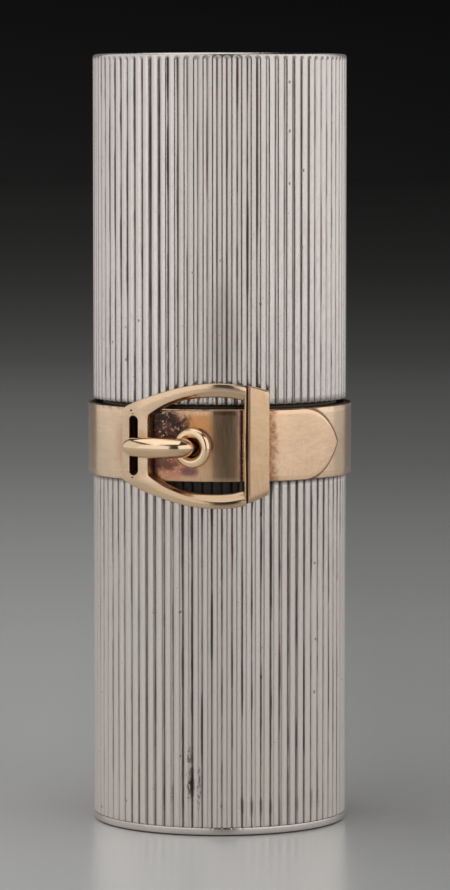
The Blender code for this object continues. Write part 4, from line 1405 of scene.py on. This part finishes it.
# ================================================================ floor
def floor():
    t = Tree("pale_floor")
    soft = t.noise(t.p, 0.004, 3.0, 0.5)
    grain = t.noise(t.p, 0.6, 4.0, 0.6)
    colour = t.mix(soft, (0.80, 0.80, 0.79), (0.84, 0.84, 0.83))
    # painted light on the floor: it darkens with distance and is a little lighter on the left, with a painted shadow
    # wedge in front
    across = t.math("MINIMUM", t.math("MAXIMUM", t.x, -16.0), 16.0)
    past = t.smooth(t.r, 160.0, 300.0)
    lean = t.math("MULTIPLY", across, t.lerp(past, 0.0070, 0.0063))
    lean = t.math("ADD", lean, t.math("MULTIPLY", t.smooth(t.r, 90.0, 380.0), 0.31))
    lean = t.math("SUBTRACT", lean, t.math("MULTIPLY", past, 0.075))
    lean = t.math("SUBTRACT", lean, t.math("MULTIPLY", t.smooth(t.r, 350.0, 900.0), 0.10))
    lean = t.math("ADD", lean, t.math("MULTIPLY", t.math("MULTIPLY", across, t.smooth(t.r, 500.0, 1300.0)), 0.0022))
    colour = t.mix(t.math("ADD", lean, 0.120), colour, (0.0, 0.0, 0.0))
    # painted fall-off of the light to near black far away
    far = t.smooth(t.r, 600.0, 7000.0)
    colour = t.mix(t.math("MULTIPLY", far, 0.95), colour, (0.02, 0.02, 0.02))
    wedge = t.math("MULTIPLY", t.band(t.phi, -4.5, 13.0, 3.0), t.smooth(t.r, 130.0, 330.0))
    colour = t.mix(t.math("MULTIPLY", wedge, 0.13), colour, (0.05, 0.05, 0.05))
    t.shader.inputs["Specular IOR Level"].default_value = 0.5
    material = t.finish(colour, t.lerp(grain, 0.262, 0.274), 0.0, t.bump(soft, 0.02, 0.05))
    mesh = bpy.data.meshes.new("floor")
    size = 3.6
    mesh.from_pydata(
        [(-size, -size, -2e-5), (size, -size, -2e-5), (size, size, -2e-5), (-size, size, -2e-5)],
        [],
        [(0, 1, 2, 3)],
    )
    mesh.materials.append(material)
    obj = bpy.data.objects.new("floor", mesh)
    bpy.context.scene.collection.objects.link(obj)


floor()


# ================================================================ lights
def softbox(name, az0, az1, radius, z0, z1, radiance, colour=(1.0, 1.0, 1.0)):
    """An upright rectangular softbox whose ends are at azimuths az0 and az1 from the front."""
    a, b = Vector(cyl(radius, az0, 0)), Vector(cyl(radius, az1, 0))
    middle = (a + b) / 2
    width, height = (b - a).length * MM, (z1 - z0) * MM
    light = bpy.data.lights.new(name, "AREA")
    light.shape = "RECTANGLE"
    light.size, light.size_y = width, height
    light.energy = radiance * math.pi * width * height
    light.color = colour
    obj = bpy.data.objects.new(name, light)
    obj.location = (middle.x * MM, middle.y * MM, (z0 + z1) / 2 * MM)
    facing = Vector((-middle.x, -middle.y, 0)).normalized()
    obj.rotation_euler = facing.to_track_quat("-Z", "Y").to_euler()
    obj.visible_camera = False
    bpy.context.scene.collection.objects.link(obj)
    return obj


def overhead(name, x, y, z, w, d, radiance, look=(0, 0, 0.03)):
    light = bpy.data.lights.new(name, "AREA")
    light.shape = "RECTANGLE"
    light.size, light.size_y = w, d
    light.energy = radiance * math.pi * w * d
    obj = bpy.data.objects.new(name, light)
    obj.location = (x, y, z)
    obj.rotation_euler = (Vector(look) - Vector((x, y, z))).to_track_quat("-Z", "Y").to_euler()
    obj.visible_camera = False
    bpy.context.scene.collection.objects.link(obj)
    return obj


softbox("key_left", -6.5, -66.0, 460, 2, 420, 0.835)
softbox("side_left", -66.0, -136.0, 460, 2, 420, 0.653)
softbox("key_right", 16.0, 72.0, 460, 2, 420, 0.94)
softbox("side_right", 72.0, 118.0, 460, 2, 420, 0.942)
softbox("edge_right", 118.0, 141.0, 460, 2, 420, 0.58)
softbox("back_left", -140.0, -168.0, 620, 2, 420, 0.171)
softbox("back_right", 144.0, 168.0, 620, 2, 420, 0.193)
overhead("top", -0.10, -0.06, 0.62, 0.74, 0.62, 1.01, look=(0, -0.06, 0.03))


# ================================================================ world
def world():
    w = bpy.data.worlds.new("studio")
    w.use_nodes = True
    tree = w.node_tree
    tree.nodes.clear()
    out = tree.nodes.new("ShaderNodeOutputWorld")
    back = tree.nodes.new("ShaderNodeBackground")
    coords = tree.nodes.new("ShaderNodeTexCoord")
    split = tree.nodes.new("ShaderNodeSeparateXYZ")
    ramp = tree.nodes.new("ShaderNodeValToRGB")
    ramp.color_ramp.elements[0].position = 0.0
    ramp.color_ramp.elements[0].color = (0.062, 0.060, 0.057, 1)
    ramp.color_ramp.elements[1].position = 0.93
    ramp.color_ramp.elements[1].color = (0.0055, 0.0055, 0.0055, 1)
    mid = ramp.color_ramp.elements.new(0.6)
    mid.color = (0.05, 0.05, 0.05, 1)
    half = tree.nodes.new("ShaderNodeMath")
    half.operation = "MULTIPLY_ADD"
    half.inputs[1].default_value = 0.5
    half.inputs[2].default_value = 0.5
    link = tree.links.new
    link(coords.outputs["Generated"], split.inputs[0])
    link(split.outputs[1], half.inputs[0])
    link(half.outputs[0], ramp.inputs[0])
    # a glow low on the horizon that fades upwards, a little stronger on the left
    level = tree.nodes.new("ShaderNodeMapRange")
    level.inputs["From Min"].default_value = -0.0145
    level.inputs["From Max"].default_value = 0.0270
    link(split.outputs[2], level.inputs["Value"])
    glow = tree.nodes.new("ShaderNodeValToRGB")
    glow.color_ramp.elements[0].position = 0.0
    glow.color_ramp.elements[0].color = (0.87, 0.87, 0.87, 1)
    glow.color_ramp.elements[1].position = 1.0
    glow.color_ramp.elements[1].color = (0.395, 0.395, 0.395, 1)
    knee = glow.color_ramp.elements.new(0.35)
    knee.color = (0.64, 0.64, 0.64, 1)
    link(level.outputs["Result"], glow.inputs[0])
    side = tree.nodes.new("ShaderNodeMapRange")
    side.inputs["From Min"].default_value = -0.06
    side.inputs["From Max"].default_value = 0.06
    side.inputs["To Min"].default_value = 0.06
    side.inputs["To Max"].default_value = -0.06
    link(split.outputs[0], side.inputs["Value"])
    slope = tree.nodes.new("ShaderNodeMapRange")
    slope.inputs["From Min"].default_value = 0.0
    slope.inputs["From Max"].default_value = 1.0
    slope.inputs["To Min"].default_value = 7.8
    slope.inputs["To Max"].default_value = 4.2
    link(level.outputs["Result"], slope.inputs["Value"])
    lift = tree.nodes.new("ShaderNodeMath")
    lift.operation = "MULTIPLY_ADD"
    lift.inputs[2].default_value = 2.0
    link(side.outputs["Result"], lift.inputs[0])
    link(slope.outputs["Result"], lift.inputs[1])
    strength = tree.nodes.new("ShaderNodeMath")
    strength.operation = "MULTIPLY"
    link(glow.outputs[0], strength.inputs[0])
    link(lift.outputs[0], strength.inputs[1])
    link(strength.outputs[0], back.inputs["Strength"])
    link(ramp.outputs[0], back.inputs[0])
    link(back.outputs[0], out.inputs[0])
    bpy.context.scene.world = w


world()

# ================================================================ camera
camera_data = bpy.data.cameras.new("camera")
camera_data.lens = 175.4
camera_data.sensor_width = 36.0
camera_data.clip_start, camera_data.clip_end = 0.01, 50.0
camera = bpy.data.objects.new("camera", camera_data)
camera.location = (0.42 * MM, -342.6 * MM, 55.5 * MM)
camera.rotation_euler = (RAD(90 - 4.316), 0.0, 0.0)
bpy.context.scene.collection.objects.link(camera)
bpy.context.scene.camera = camera
bpy.context.scene.view_settings.view_transform = "Standard"
bpy.context.scene.view_settings.look = "None"
